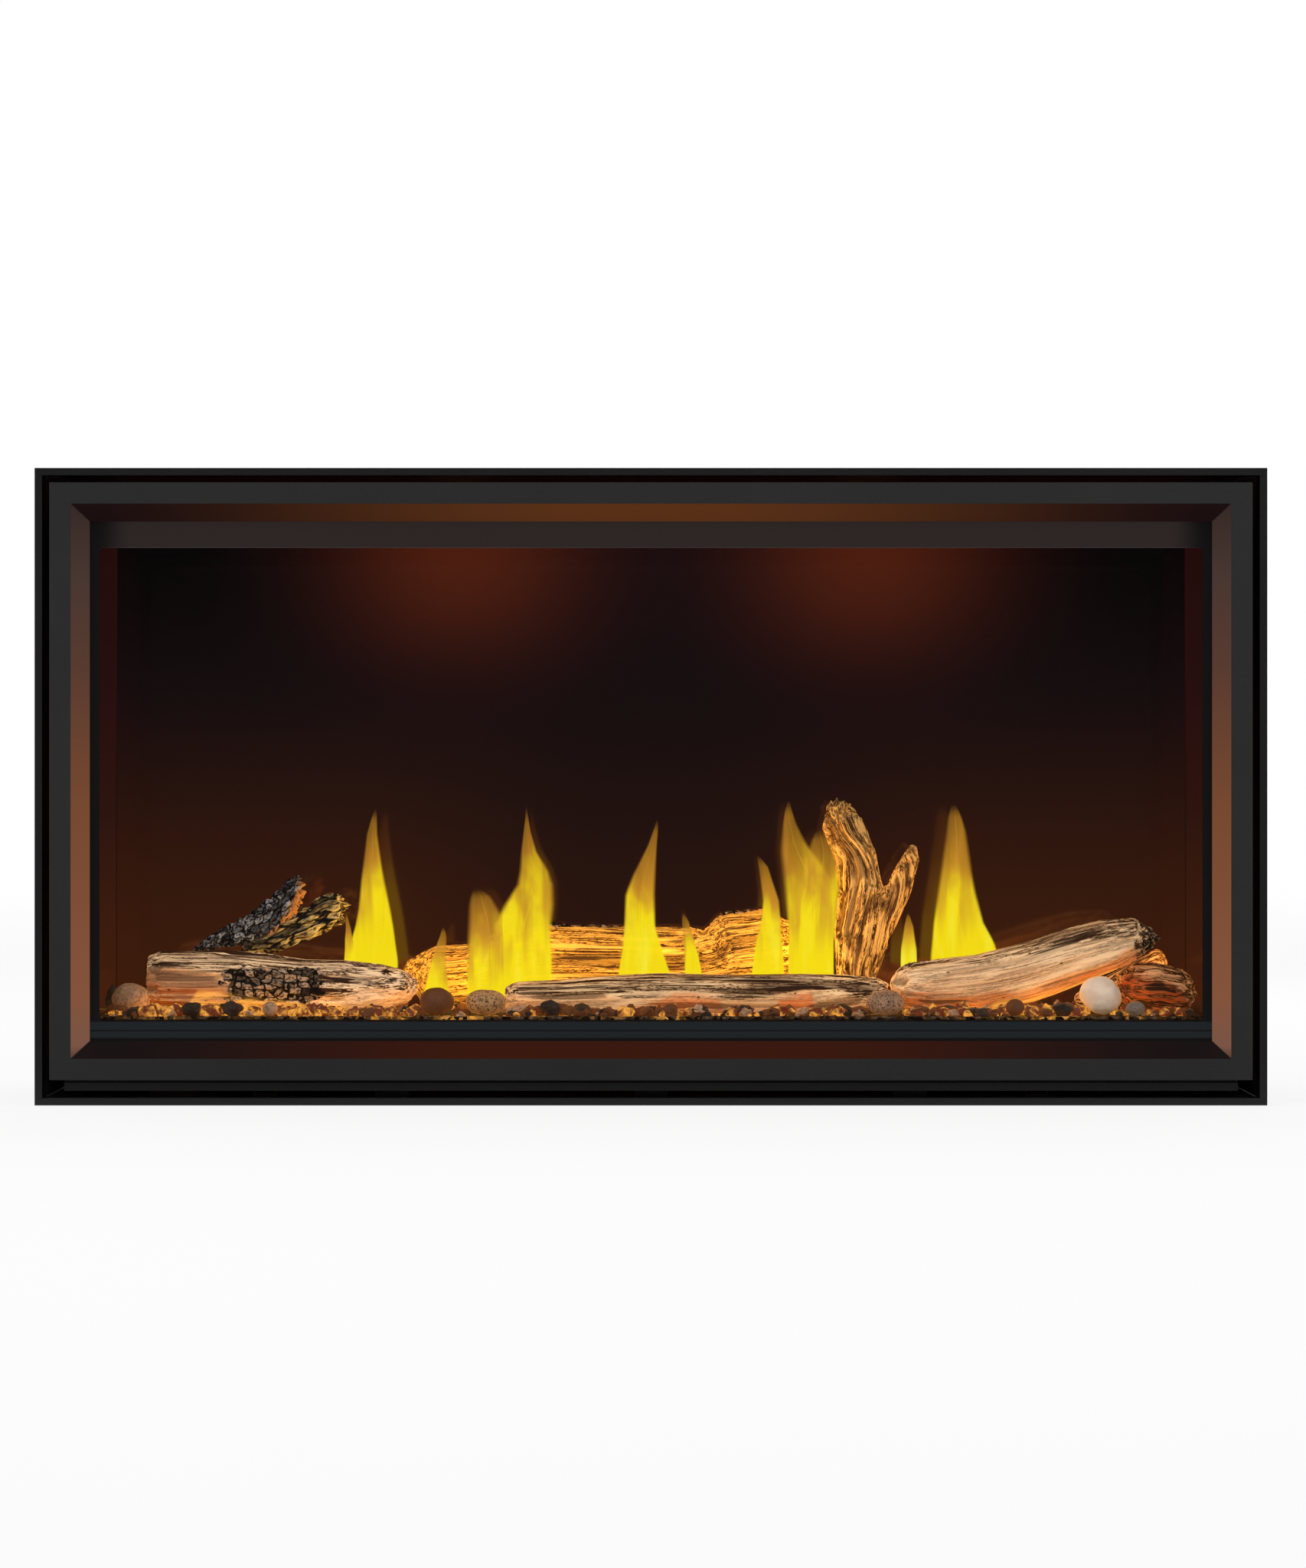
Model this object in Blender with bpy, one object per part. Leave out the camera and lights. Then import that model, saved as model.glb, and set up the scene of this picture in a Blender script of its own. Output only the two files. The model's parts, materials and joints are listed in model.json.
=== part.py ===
"""Linear direct vent gas fireplace: casing, sealed firebox, glass door, burner, gas train, logs and vent.

Metres, +Z up. The front faces -Y. Every piece is built with y = 0 on the front of the wall trim and is
carried by one empty, which sets the origin at the middle of the footprint, on the floor.
"""

import math
import random

import bmesh
import bpy
from mathutils import Vector

# Fits and sheet
GAP = 0.0003  # left between pieces that touch
SHEET = 0.0015  # casing, trim and firebox sheet
OVERRUN = 0.006  # how far a cutter passes the wall it cuts
FLOOR_GAP = 0.0005  # the wall trim clears the floor by this

# Wall trim, four angles butted at the corners
TRIM_WIDTH = 1.420
TRIM_HEIGHT = 0.7343
TRIM_FACE = 0.0085
TRIM_LEG = 0.038

# Casing
WALL_BOARD = 0.0127
CASING_DEPTH = 0.430
CASING_FLANGE = 0.018
SKID_WIDTH = 0.045
SKID_INSET = 0.020
SKID_FROM_END = 0.150
STANDOFF_WIDTH = 0.030
STANDOFF_FROM_END = 0.260

# Bezel, the removable front surround
BEZEL_FRONT = 0.001
BEZEL_SIDE_GAP = 0.0083
BEZEL_TOP_GAP = 0.0080
BEZEL_FOOT_GAP = 0.0205
BEZEL_FACE = 0.0243
BEZEL_RUN = 0.0195
BEZEL_SLOPE_DEPTH = 0.030
BEZEL_SHEET = 0.002
BEZEL_RETURN = 0.020
BEZEL_TAB_WIDTH = 0.040
BEZEL_TAB_FROM_END = 0.210
BEZEL_TAB_LAP = 0.012

# Lower rail that the bezel stands on
RAIL_SETBACK = 0.0157
RAIL_FRONT = 0.014
RAIL_FACE = 0.010
RAIL_BELOW_BEZEL = 0.003
RAIL_DEPTH = 0.026
RAIL_STEP = 0.004
RAIL_LEG_WIDTH = 0.040
RAIL_LEG_FROM_END = 0.410
RAIL_FOOT = 0.022

# Glass door
DOOR_FRONT = 0.038
DOOR_SHEET = 0.002
DOOR_RETURN = 0.0187
DOOR_RAIL = 0.038
DOOR_SILL = 0.0297
DOOR_HEAD = 0.0547
SIGHT_FROM_END = 0.071
SIGHT_ABOVE_TRIM = 0.0867
SIGHT_BELOW_TOP = 0.0905
SIGHT_RADIUS = 0.005
SILL_PROUD = 0.0025
SILL_REVEAL = 0.011
SILL_HEIGHT = 0.0157
SILL_SETBACK = 0.017
GLASS_THICK = 0.005
GLASS_LAP = 0.015
GASKET_WIDTH = 0.011
DOOR_TAB_WIDTH = 0.040
DOOR_TAB_LAP = 0.013

# Cam latches under the door
LATCH_FROM_END = 0.260
LATCH_Y = 0.095
CAM_LOBE = 0.011
CAM_HUB = 0.007
CAM_THICK = 0.006
CAM_PIN = 0.0025
CAM_LOBE_SHARE = 0.7  # the lobe spans the upper part of the turn, from this sine up
LATCH_HANDLE = 0.040
LATCH_HANDLE_WIDTH = 0.008
LATCH_EAR_INSIDE = 0.012
LATCH_EAR_HALF = 0.011
LATCH_EAR_ABOVE = 0.0045
LATCH_FOOT_HALF = 0.017
SPRING_RADIUS = 0.0042
SPRING_WIRE = 0.0006
SPRING_TURNS = 4
SPRING_PITCH = 0.0016
SPRING_LEG = 0.012

# Firebox
FIREBOX_FRONT = 0.057
FIREBOX_FROM_END = 0.0525
FIREBOX_TO_BACK = 0.0515
FLOOR_DROP = 0.0027
FLOOR_FLANGE = 0.015
ROOF_RISE = 0.0357
FACE_LIP = 0.0155
FACE_LAP = 0.022
FACE_ABOVE_DOOR = 0.004

# Reflective panels
PANEL_THICK = 0.0015
PANEL_STANDOFF = 0.0055
PANEL_BACK_GAP = 0.006
PANEL_TOP_GAP = 0.016
PANEL_FRONT_GAP = 0.003

# Accent lamps in the roof
LAMP_LEFT_FROM_END = 0.480
LAMP_RIGHT_FROM_END = 0.448
LAMP_TO_BACK = 0.0885
LAMP_HOLE = 0.030
LENS_RADIUS = 0.034
LENS_THICK = 0.004
LAMP_RADIUS = 0.038
LAMP_HEIGHT = 0.030
LAMP_WALL = 0.002
LAMP_RIM = 0.006
LAMP_NECK = 0.009
LAMP_NECK_HEIGHT = 0.008

# Pressure relief flap in the roof
RELIEF_TO_BACK = 0.1285
RELIEF_HOLE_WIDTH = 0.080
RELIEF_HOLE_DEPTH = 0.050
RELIEF_LAP = 0.006
RELIEF_PIN = 0.0015
RELIEF_KNUCKLE = 0.0034
RELIEF_EAR_GAP = 0.002
RELIEF_EAR_ABOVE = 0.004

# Burner
BURNER_TO_WALL = 0.1175
BURNER_Y = 0.230
BURNER_WIDTH = 0.060
BURNER_DEPTH = 0.035
BURNER_FLANGE = 0.014
BURNER_PLAY = 0.004
PORT_END = 0.060
PORT_LENGTH = 0.016
PORT_WIDTH = 0.003
PORT_PITCH = 0.040
TRAY_SETBACK = 0.004
TRAY_FRONT_GAP = 0.0035
TRAY_BACK_GAP = 0.005
BED_INSET = 0.003
BED_THICK = 0.0034
BED_EDGE = 0.001
BED_SLOT_WIDTH = 0.012

# Mixing tube, air shutter and gas orifice, on one axis along X
MIXER_BELOW_FLOOR = 0.018
MIXER_RADIUS = 0.014
MIXER_WALL = 0.0015
MIXER_LENGTH = 0.060
MIXER_REACH = 0.010
AIR_WINDOW_INSET = 0.006
AIR_WINDOW_LENGTH = 0.016
AIR_WINDOW_WIDTH = 0.012
SHUTTER_INSET = 0.002
SHUTTER_LENGTH = 0.024
SHUTTER_TAB = 0.014
SHUTTER_TAB_WIDTH = 0.008
ORIFICE_TIP = 0.0046
ORIFICE_TIP_REACH = 0.008
ORIFICE_BODY = 0.008
ORIFICE_LENGTH = 0.014
ORIFICE_BORE = 0.0012

# Gas supply on one axis along X, under the firebox floor
GAS_Y = 0.130
GAS_ABOVE_BASE = 0.0325
INLET_RADIUS = 0.0105
INLET_BORE = 0.0075
INLET_INSIDE_TRIM = 0.001
INLET_LENGTH = 0.059
STOP_RADIUS = 0.014
STOP_LENGTH = 0.040
STOP_NECK = 0.008
STOP_NECK_RISE = 0.024
STOP_STEM = 0.003
STOP_STEM_RISE = 0.006
LEVER_LENGTH = 0.050
LEVER_TAIL = 0.009
LEVER_WIDTH = 0.013
LEVER_THICK = 0.003
VALVE_LENGTH = 0.100
VALVE_DEPTH = 0.050
VALVE_HEIGHT = 0.042
VALVE_FOOT_LENGTH = 0.060
VALVE_FOOT_DEPTH = 0.030
VALVE_DOME = 0.016
VALVE_DOME_RISE = 0.010
KNOB_RADIUS = 0.013
KNOB_DEPTH = 0.014
KNOB_GRIP = 0.004
KNOB_GRIP_RISE = 0.004
KNOB_STEM = 0.003
KNOB_STEM_LENGTH = 0.008
KNOB_OFFSET = 0.028
MANIFOLD_RADIUS = 0.004
MANIFOLD_BEND = 0.020

# Pilot
PILOT_FROM_END = 0.170
PILOT_TO_BACK = 0.0785
PILOT_BASE_HALF = 0.018
PILOT_BASE_DEPTH = 0.018
PILOT_PLAY = 0.002
PILOT_POST = 0.0016
PILOT_POST_SPREAD = 0.011
PILOT_HEIGHT = 0.030
PILOT_HOOD = 0.006
PILOT_HOOD_HEIGHT = 0.022

# Control module and its slide switch
MODULE_FROM_END = 0.150
MODULE_WIDTH = 0.120
MODULE_FRONT = 0.090
MODULE_DEPTH = 0.080
MODULE_HEIGHT = 0.040
MODULE_CHAMFER = 0.002
SWITCH_TRAVEL = 0.005
SWITCH_WIDTH = 0.008
SWITCH_HEIGHT = 0.006
SWITCH_RECESS = 0.004
SWITCH_PROUD = 0.003

# Direct vent
VENT_BELOW_ROOF = 0.120
VENT_WALL = 0.0012
EXHAUST_RADIUS = 0.0635
INTAKE_RADIUS = 0.1016
VENT_FLANGE = 0.018
COLLAR_STUB = 0.060
COLLAR_INSIDE = 0.004
INTAKE_SHORT = 0.003

# Logs. Each lies between two places across, which are shares of the half width between the side panels,
# or stands at one. Its depth is measured from the trim's front or to the firebox's back, and its rise is
# above the ember bed. A row of shares is the share of the length, then the rise and the set-back as
# shares of the length, then the radius as a share of the thickest radius. An upright log runs along Z,
# and its row gives the drift to the right in place of the rise.
LOG_SIDES = 12
LOG_KNOBBLE_SHARE = 0.05
FRONT_LEFT_ENDS_SHARE = (-0.9095, -0.4181)
FRONT_LEFT_Y = 0.150
FRONT_LEFT_RISE = 0.0367
FRONT_LEFT_RADIUS = 0.0388
FRONT_LEFT_SHARES = (
    (0.00, 0.000, 0.00, 0.82), (0.05, 0.000, 0.00, 1.00), (0.18, -0.004, 0.01, 1.02),
    (0.30, -0.008, 0.01, 1.00), (0.45, -0.014, 0.00, 0.94), (0.58, -0.020, 0.00, 0.91),
    (0.72, -0.022, -0.01, 0.90), (0.865, -0.017, -0.02, 0.74), (0.96, -0.014, -0.03, 0.50),
    (1.00, -0.014, -0.03, 0.18),
)
FRONT_CENTRE_ENDS_SHARE = (-0.2629, 0.4333)
FRONT_CENTRE_Y = 0.132
FRONT_CENTRE_RISE = 0.0195
FRONT_CENTRE_RADIUS = 0.0275
FRONT_CENTRE_SHARES = (
    (0.00, 0.000, 0.00, 0.48), (0.03, 0.000, 0.00, 0.74), (0.12, -0.005, 0.01, 0.87),
    (0.24, -0.002, 0.01, 0.92), (0.38, 0.000, 0.00, 1.00), (0.58, 0.002, -0.01, 1.02),
    (0.77, 0.004, 0.00, 0.98), (0.89, 0.010, 0.02, 0.86), (0.97, 0.016, 0.03, 0.62),
    (1.00, 0.018, 0.03, 0.30),
)
REAR_CENTRE_ENDS_SHARE = (-0.4566, 0.2643)
REAR_CENTRE_TO_BACK = 0.0745
REAR_CENTRE_RISE = 0.0377
REAR_CENTRE_RADIUS = 0.0520
REAR_CENTRE_SHARES = (
    (0.00, 0.026, 0.00, 0.16), (0.065, 0.000, 0.00, 0.75), (0.155, 0.000, 0.00, 0.75),
    (0.26, 0.014, 0.01, 0.88), (0.38, 0.029, 0.01, 1.01), (0.55, 0.023, 0.00, 0.96),
    (0.74, 0.021, 0.00, 0.94), (0.80, 0.022, 0.00, 0.92), (0.85, 0.057, 0.00, 1.06),
    (0.93, 0.064, 0.00, 1.06), (1.00, 0.057, 0.00, 0.77),
)
LEANING_ENDS_SHARE = (0.4371, 0.9271)
LEANING_Y = 0.150
LEANING_RISE = 0.0417
LEANING_RADIUS = 0.0360
LEANING_SHARES = (
    (0.00, 0.003, 0.00, 0.36), (0.05, -0.024, 0.00, 0.76), (0.15, -0.033, 0.00, 0.90),
    (0.32, -0.017, 0.00, 0.97), (0.49, 0.020, 0.00, 1.00), (0.66, 0.077, 0.00, 0.95),
    (0.80, 0.122, -0.01, 0.86), (0.90, 0.146, -0.02, 0.70), (0.96, 0.148, -0.02, 0.38),
    (1.00, 0.136, -0.02, 0.12),
)
STUB_ENDS_SHARE = (0.8466, 0.9816)
STUB_Y = 0.155
STUB_RISE = 0.0307
STUB_RADIUS = 0.0305
STUB_SHARES = (
    (0.00, 0.00, 0.00, 0.55), (0.20, 0.02, 0.02, 0.92), (0.45, 0.01, 0.02, 1.00),
    (0.75, -0.06, 0.02, 0.95), (0.92, -0.14, 0.02, 0.75), (1.00, -0.20, 0.02, 0.40),
)
FORK_X_SHARE = 0.3771
FORK_TO_BACK = 0.1165
FORK_SUNK = 0.0020
FORK_HEIGHT = 0.260
FORK_RADIUS = 0.0310
FORK_SHARES = (
    (0.00, 0.00, 0.00, 0.62), (0.20, 0.00, 0.00, 0.80), (0.37, 0.014, 0.00, 1.00),
    (0.53, 0.024, 0.01, 0.96), (0.71, 0.000, 0.02, 0.84), (0.87, -0.063, 0.02, 0.80),
    (0.97, -0.088, 0.02, 0.52), (1.00, -0.098, 0.02, 0.20),
)
PRONG_RIGHT_OF_FORK = 0.0061
PRONG_RISE = 0.0297
PRONG_HEIGHT = 0.168
PRONG_RADIUS = 0.0185
PRONG_SHARES = (
    (0.00, 0.00, 0.00, 0.90), (0.22, 0.060, 0.00, 1.00), (0.42, 0.140, 0.00, 1.00),
    (0.69, 0.275, 0.00, 0.86), (0.91, 0.358, 0.00, 0.62), (1.00, 0.375, 0.00, 0.25),
)
BRANCH_ENDS_SHARE = (-0.8298, -0.6334)
BRANCH_Y = 0.160
BRANCH_RISE = 0.0740
BRANCH_RADIUS = 0.0200
BRANCH_SHARES = (
    (0.00, 0.00, 0.00, 0.16), (0.20, 0.080, 0.05, 0.50), (0.45, 0.165, 0.11, 0.84),
    (0.66, 0.270, 0.18, 0.98), (0.84, 0.420, 0.24, 1.00), (0.96, 0.590, 0.30, 0.74),
    (1.00, 0.670, 0.34, 0.26),
)
BARK_ENDS_SHARE = (-0.7393, -0.5475)
BARK_Y = 0.186
BARK_RISE = 0.0860
BARK_RADIUS = 0.0195
BARK_SHARES = (
    (0.00, -0.08, -0.10, 0.50), (0.22, 0.00, 0.00, 0.86), (0.57, 0.150, 0.14, 1.00),
    (0.87, 0.290, 0.26, 0.92), (1.00, 0.330, 0.30, 0.40),
)
PEBBLE_X_SHARE = 0.8067
PEBBLE_Y = 0.096
PEBBLE_RADII = (0.0248, 0.0210, 0.0222)

# Where pieces meet, worked out from the sizes above
HALF = TRIM_WIDTH / 2
TRIM_TOP = FLOOR_GAP + TRIM_HEIGHT
TRIM_IN_X = HALF - TRIM_FACE
TRIM_IN_LOW = FLOOR_GAP + TRIM_FACE
TRIM_IN_TOP = TRIM_TOP - TRIM_FACE
LEG_OUT_X = TRIM_IN_X + SHEET
LEG_OUT_LOW = TRIM_IN_LOW - SHEET
LEG_OUT_TOP = TRIM_IN_TOP + SHEET
CASING_FRONT = SHEET + WALL_BOARD
BASE_TOP = LEG_OUT_LOW - GAP
BASE_LOW = BASE_TOP - SHEET
STAND_Z = BASE_TOP + GAP
SIDE_IN_X = LEG_OUT_X + GAP
SIDE_OUT_X = SIDE_IN_X + SHEET
SIDE_TOP = LEG_OUT_TOP
LID_LOW = SIDE_TOP + GAP
LID_TOP = LID_LOW + SHEET
BACK_IN_Y = CASING_DEPTH - SHEET
SIDE_BACK = BACK_IN_Y - GAP
DEPTH = CASING_DEPTH + COLLAR_STUB
SKID_SPREAD = HALF - SKID_FROM_END
STANDOFF_SPREAD = HALF - STANDOFF_FROM_END
BEZEL_HALF = TRIM_IN_X - BEZEL_SIDE_GAP
BEZEL_LOW = TRIM_IN_LOW + BEZEL_FOOT_GAP
BEZEL_TOP = TRIM_IN_TOP - BEZEL_TOP_GAP
RAIL_TOP = BEZEL_LOW - RAIL_BELOW_BEZEL
RAIL_SEAT = BEZEL_LOW - GAP
RAIL_BACK = RAIL_FRONT + RAIL_DEPTH
BEZEL_TAB_SPREAD = HALF - BEZEL_TAB_FROM_END
RAIL_LEG_SPREAD = HALF - RAIL_LEG_FROM_END
SIGHT_HALF = HALF - SIGHT_FROM_END
SIGHT_LOW = TRIM_IN_LOW + SIGHT_ABOVE_TRIM
SIGHT_TOP = TRIM_TOP - SIGHT_BELOW_TOP
DOOR_HALF = SIGHT_HALF + DOOR_RAIL
DOOR_LOW = SIGHT_LOW - DOOR_SILL
DOOR_TOP = SIGHT_TOP + DOOR_HEAD
DOOR_BACK = DOOR_FRONT + DOOR_RETURN
GLASS_FRONT = DOOR_FRONT + DOOR_SHEET + GAP
GLASS_BACK = GLASS_FRONT + GLASS_THICK
GLASS_HALF = SIGHT_HALF + GLASS_LAP
GLASS_LOW = SIGHT_LOW - GLASS_LAP
GLASS_TOP = SIGHT_TOP + GLASS_LAP
LATCH_SPREAD = HALF - LATCH_FROM_END
FACE_LOW = DOOR_LOW + FACE_ABOVE_DOOR
FIREBOX_HALF = HALF - FIREBOX_FROM_END
FIREBOX_BACK = CASING_DEPTH - FIREBOX_TO_BACK
BOX_FRONT = FIREBOX_FRONT + SHEET + GAP
FLOOR_Z = SIGHT_LOW - FLOOR_DROP
FLOOR_TOP = FLOOR_Z + SHEET
ROOF_Z = SIGHT_TOP + ROOF_RISE
ROOF_TOP = ROOF_Z + SHEET
WALL_OUT_X = FIREBOX_HALF + SHEET
WALL_BACK = FIREBOX_BACK - GAP
PANEL_HALF = FIREBOX_HALF - PANEL_STANDOFF
PANEL_BACK_Y = FIREBOX_BACK - PANEL_BACK_GAP - PANEL_THICK
PANEL_LOW = FLOOR_TOP + GAP
PANEL_TOP = ROOF_Z - PANEL_TOP_GAP
TRAY_LOW = FLOOR_TOP + GAP
TRAY_TOP = TRAY_LOW + SHEET
TRAY_HALF = PANEL_HALF - TRAY_SETBACK
TRAY_FRONT = BOX_FRONT + TRAY_FRONT_GAP
TRAY_BACK = PANEL_BACK_Y - TRAY_BACK_GAP
BED_LOW = TRAY_TOP + GAP
BED_TOP = BED_LOW + BED_THICK
REST_Z = BED_TOP + GAP
LAMP_LEFT_X = LAMP_LEFT_FROM_END - HALF
LAMP_RIGHT_X = HALF - LAMP_RIGHT_FROM_END
LAMP_Y = FIREBOX_BACK - LAMP_TO_BACK
RELIEF_Y = FIREBOX_BACK - RELIEF_TO_BACK
CAM_Z = DOOR_LOW - GAP - CAM_LOBE
BURNER_HALF = FIREBOX_HALF - BURNER_TO_WALL
BURNER_BACK_HALF = BURNER_WIDTH / 2
PORT_COUNT = round(2 * (BURNER_HALF - PORT_END) / PORT_PITCH)
BURNER_LOW = FLOOR_Z - BURNER_DEPTH
PILOT_X = BURNER_HALF - PILOT_FROM_END
PILOT_Y = FIREBOX_BACK - PILOT_TO_BACK
MIXER_Z = FLOOR_Z - MIXER_BELOW_FLOOR
MIXER_OUT_X = MIXER_REACH - BURNER_HALF
MIXER_IN_X = -BURNER_HALF - MIXER_LENGTH
SHUTTER_BORE = MIXER_RADIUS + GAP
SHUTTER_RADIUS = SHUTTER_BORE + MIXER_WALL
ORIFICE_OUT_X = MIXER_IN_X - GAP
ORIFICE_START_X = ORIFICE_OUT_X - ORIFICE_LENGTH
GAS_Z = STAND_Z + GAS_ABOVE_BASE
INLET_OUT_X = INLET_INSIDE_TRIM - HALF
INLET_IN_X = INLET_OUT_X + INLET_LENGTH
STOP_X = INLET_IN_X + GAP + STOP_LENGTH / 2
STOP_TOP = GAS_Z + STOP_NECK_RISE
VALVE_START_X = INLET_IN_X + GAP + STOP_LENGTH + GAP
VALVE_X = VALVE_START_X + VALVE_LENGTH / 2
VALVE_FRONT = GAS_Y - VALVE_DEPTH / 2
VALVE_BACK = GAS_Y + VALVE_DEPTH / 2
VALVE_TOP = GAS_Z + VALVE_HEIGHT / 2
KNOB_X = VALVE_X + KNOB_OFFSET
KNOB_BACK = VALVE_FRONT - GAP
RELIEF_HALF = RELIEF_HOLE_WIDTH / 2 + RELIEF_LAP
RELIEF_AXIS_Y = RELIEF_Y + RELIEF_HOLE_DEPTH / 2 + RELIEF_LAP + RELIEF_KNUCKLE
RELIEF_AXIS_Z = ROOF_TOP + GAP + RELIEF_KNUCKLE
RELIEF_EAR_X = RELIEF_HALF + RELIEF_EAR_GAP
MODULE_X = HALF - MODULE_FROM_END
MODULE_TOP = STAND_Z + MODULE_HEIGHT
SWITCH_Z = STAND_Z + MODULE_HEIGHT / 2
VENT_Z = ROOF_Z - VENT_BELOW_ROOF
INTAKE_END = DEPTH - INTAKE_SHORT
REAR_CENTRE_Y = FIREBOX_BACK - REAR_CENTRE_TO_BACK
FORK_X = FORK_X_SHARE * PANEL_HALF
FORK_Y = FIREBOX_BACK - FORK_TO_BACK
PEBBLE_X = PEBBLE_X_SHARE * PANEL_HALF

FINISHES = {
    "galvanised": ((0.52, 0.54, 0.55), 0.42, 0.85),
    "satin_black": ((0.030, 0.030, 0.031), 0.48, 0.30),
    "firebox_black": ((0.020, 0.020, 0.021), 0.60, 0.20),
    "porcelain": ((0.006, 0.006, 0.007), 0.06, 0.00),
    "glass": ((0.80, 0.82, 0.82), 0.03, 0.00),
    "gasket": ((0.50, 0.49, 0.46), 0.95, 0.00),
    "steel": ((0.56, 0.57, 0.58), 0.35, 1.00),
    "brass": ((0.66, 0.50, 0.24), 0.32, 1.00),
    "cast_aluminium": ((0.58, 0.59, 0.60), 0.50, 0.90),
    "black_plastic": ((0.035, 0.035, 0.037), 0.55, 0.00),
    "red_plastic": ((0.55, 0.05, 0.04), 0.45, 0.00),
    "pale_wood": ((0.56, 0.45, 0.34), 0.85, 0.00),
    "charred_wood": ((0.10, 0.085, 0.075), 0.90, 0.00),
    "gravel": ((0.24, 0.16, 0.11), 0.85, 0.00),
    "pearl_stone": ((0.80, 0.72, 0.64), 0.45, 0.00),
}

AXES = {"X": (1, 2, 0), "Y": (0, 2, 1), "Z": (0, 1, 2)}


def finish(name):
    """The material of that name, made once."""
    found = bpy.data.materials.get(name)
    if found:
        return found
    colour, roughness, metallic = FINISHES[name]
    made = bpy.data.materials.new(name)
    made.use_nodes = True
    shader = made.node_tree.nodes["Principled BSDF"]
    shader.inputs["Base Color"].default_value = (*colour, 1.0)
    shader.inputs["Roughness"].default_value = roughness
    shader.inputs["Metallic"].default_value = metallic
    made.diffuse_color = (*colour, 1.0)
    return made


def clear_scene():
    for old in list(bpy.data.objects):
        bpy.data.objects.remove(old)


def carrier():
    """The empty that carries the whole fireplace, with its front half the depth before the origin."""
    empty = bpy.data.objects.get("fireplace")
    if empty is None:
        empty = bpy.data.objects.new("fireplace", None)
        bpy.context.scene.collection.objects.link(empty)
        empty.location = (0, -DEPTH / 2, 0)
    return empty


def add_object(name, data, material):
    made = bpy.data.objects.new(name, data)
    bpy.context.scene.collection.objects.link(made)
    data.materials.append(finish(material))
    made.parent = carrier()
    return made


def place(name, bm, material, smooth=False):
    """An object of that bmesh, carried by the fireplace."""
    bmesh.ops.recalc_face_normals(bm, faces=bm.faces)
    mesh = bpy.data.meshes.new(name)
    bm.to_mesh(mesh)
    bm.free()
    if smooth:
        mesh.shade_smooth()
        mesh.set_sharp_from_angle(angle=math.radians(40))
    return add_object(name, mesh, material)


def pivot_at(piece, x, y, z):
    """Puts the piece's origin on its joint's axis, and leaves its shape where it was."""
    for vertex in piece.data.vertices:
        vertex.co -= Vector((x, y, z))
    piece.location = (x, y, z)
    return piece


def boxes(name, ranges, material):
    """Blocks between two places on each axis. Several of them serve as one cutter."""
    bm = bmesh.new()
    for x_range, y_range, z_range in ranges:
        corners = [bm.verts.new((x, y, z)) for x in x_range for y in y_range for z in z_range]
        for face in ((0, 1, 3, 2), (4, 6, 7, 5), (0, 4, 5, 1), (2, 3, 7, 6), (0, 2, 6, 4), (1, 5, 7, 3)):
            bm.faces.new([corners[i] for i in face])
    return place(name, bm, material)


def box(name, x_range, y_range, z_range, material="steel"):
    return boxes(name, ((x_range, y_range, z_range),), material)


def prism(name, outline, axis, start, end, material="steel", smooth=False):
    """An outline on the two other axes, extruded along one axis."""
    first, second, along = AXES[axis]
    bm = bmesh.new()
    rings = []
    for at in (start, end):
        ring = []
        for a, b in outline:
            point = [0, 0, 0]
            point[first], point[second], point[along] = a, b, at
            ring.append(bm.verts.new(point))
        rings.append(ring)
        bm.faces.new(ring)
    for i in range(len(outline)):
        j = (i + 1) % len(outline)
        bm.faces.new((rings[0][i], rings[0][j], rings[1][j], rings[1][i]))
    return place(name, bm, material, smooth)


def circle(centre, radius, sides):
    turns = [2 * math.pi * i / sides for i in range(sides)]
    return [(centre[0] + radius * math.cos(t), centre[1] + radius * math.sin(t)) for t in turns]


def rod(name, axis, centre, radius, start, end, material="steel", sides=24):
    """A round bar along an axis. Its centre is given on the two other axes, in X, Y, Z order."""
    return prism(name, circle(centre, radius, sides), axis, start, end, material, smooth=True)


def turned_ring(name, axis, centre, profile, material, sides=32):
    """A closed profile of places along the axis and radii, turned about the axis."""
    first, second, along = AXES[axis]
    bm = bmesh.new()
    loops = []
    for at, radius in profile:
        loop = []
        for a, b in circle(centre, radius, sides):
            point = [0, 0, 0]
            point[first], point[second], point[along] = a, b, at
            loop.append(bm.verts.new(point))
        loops.append(loop)
    for i, loop in enumerate(loops):
        following = loops[(i + 1) % len(loops)]
        for k in range(sides):
            m = (k + 1) % sides
            bm.faces.new((loop[k], loop[m], following[m], following[k]))
    return place(name, bm, material, smooth=True)


def helper(piece):
    """Marks a cutter, or a shape that another piece takes in."""
    piece.hide_render = True
    piece.display_type = "WIRE"
    return piece


def boolean(piece, other, operation):
    modifier = piece.modifiers.new(f"{operation.lower()} {other.name}", "BOOLEAN")
    modifier.operation = operation
    modifier.solver = "EXACT"
    modifier.object = helper(other)


def cut(piece, *others):
    for other in others:
        boolean(piece, other, "DIFFERENCE")
    return piece


def join(piece, *others):
    for other in others:
        boolean(piece, other, "UNION")
    return piece


def mitred_frame(name, half, low, high, section, material):
    """Each point of the section is its distance in from the outer edge, and its depth."""
    bm = bmesh.new()
    loops = []
    for inward, depth in section:
        x, bottom, top = half - inward, low + inward, high - inward
        corners = ((-x, bottom), (x, bottom), (x, top), (-x, top))
        loops.append([bm.verts.new((cx, depth, cz)) for cx, cz in corners])
    for i, loop in enumerate(loops):
        following = loops[(i + 1) % len(loops)]
        for k in range(4):
            m = (k + 1) % 4
            bm.faces.new((loop[k], loop[m], following[m], following[k]))
    return place(name, bm, material)


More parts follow.
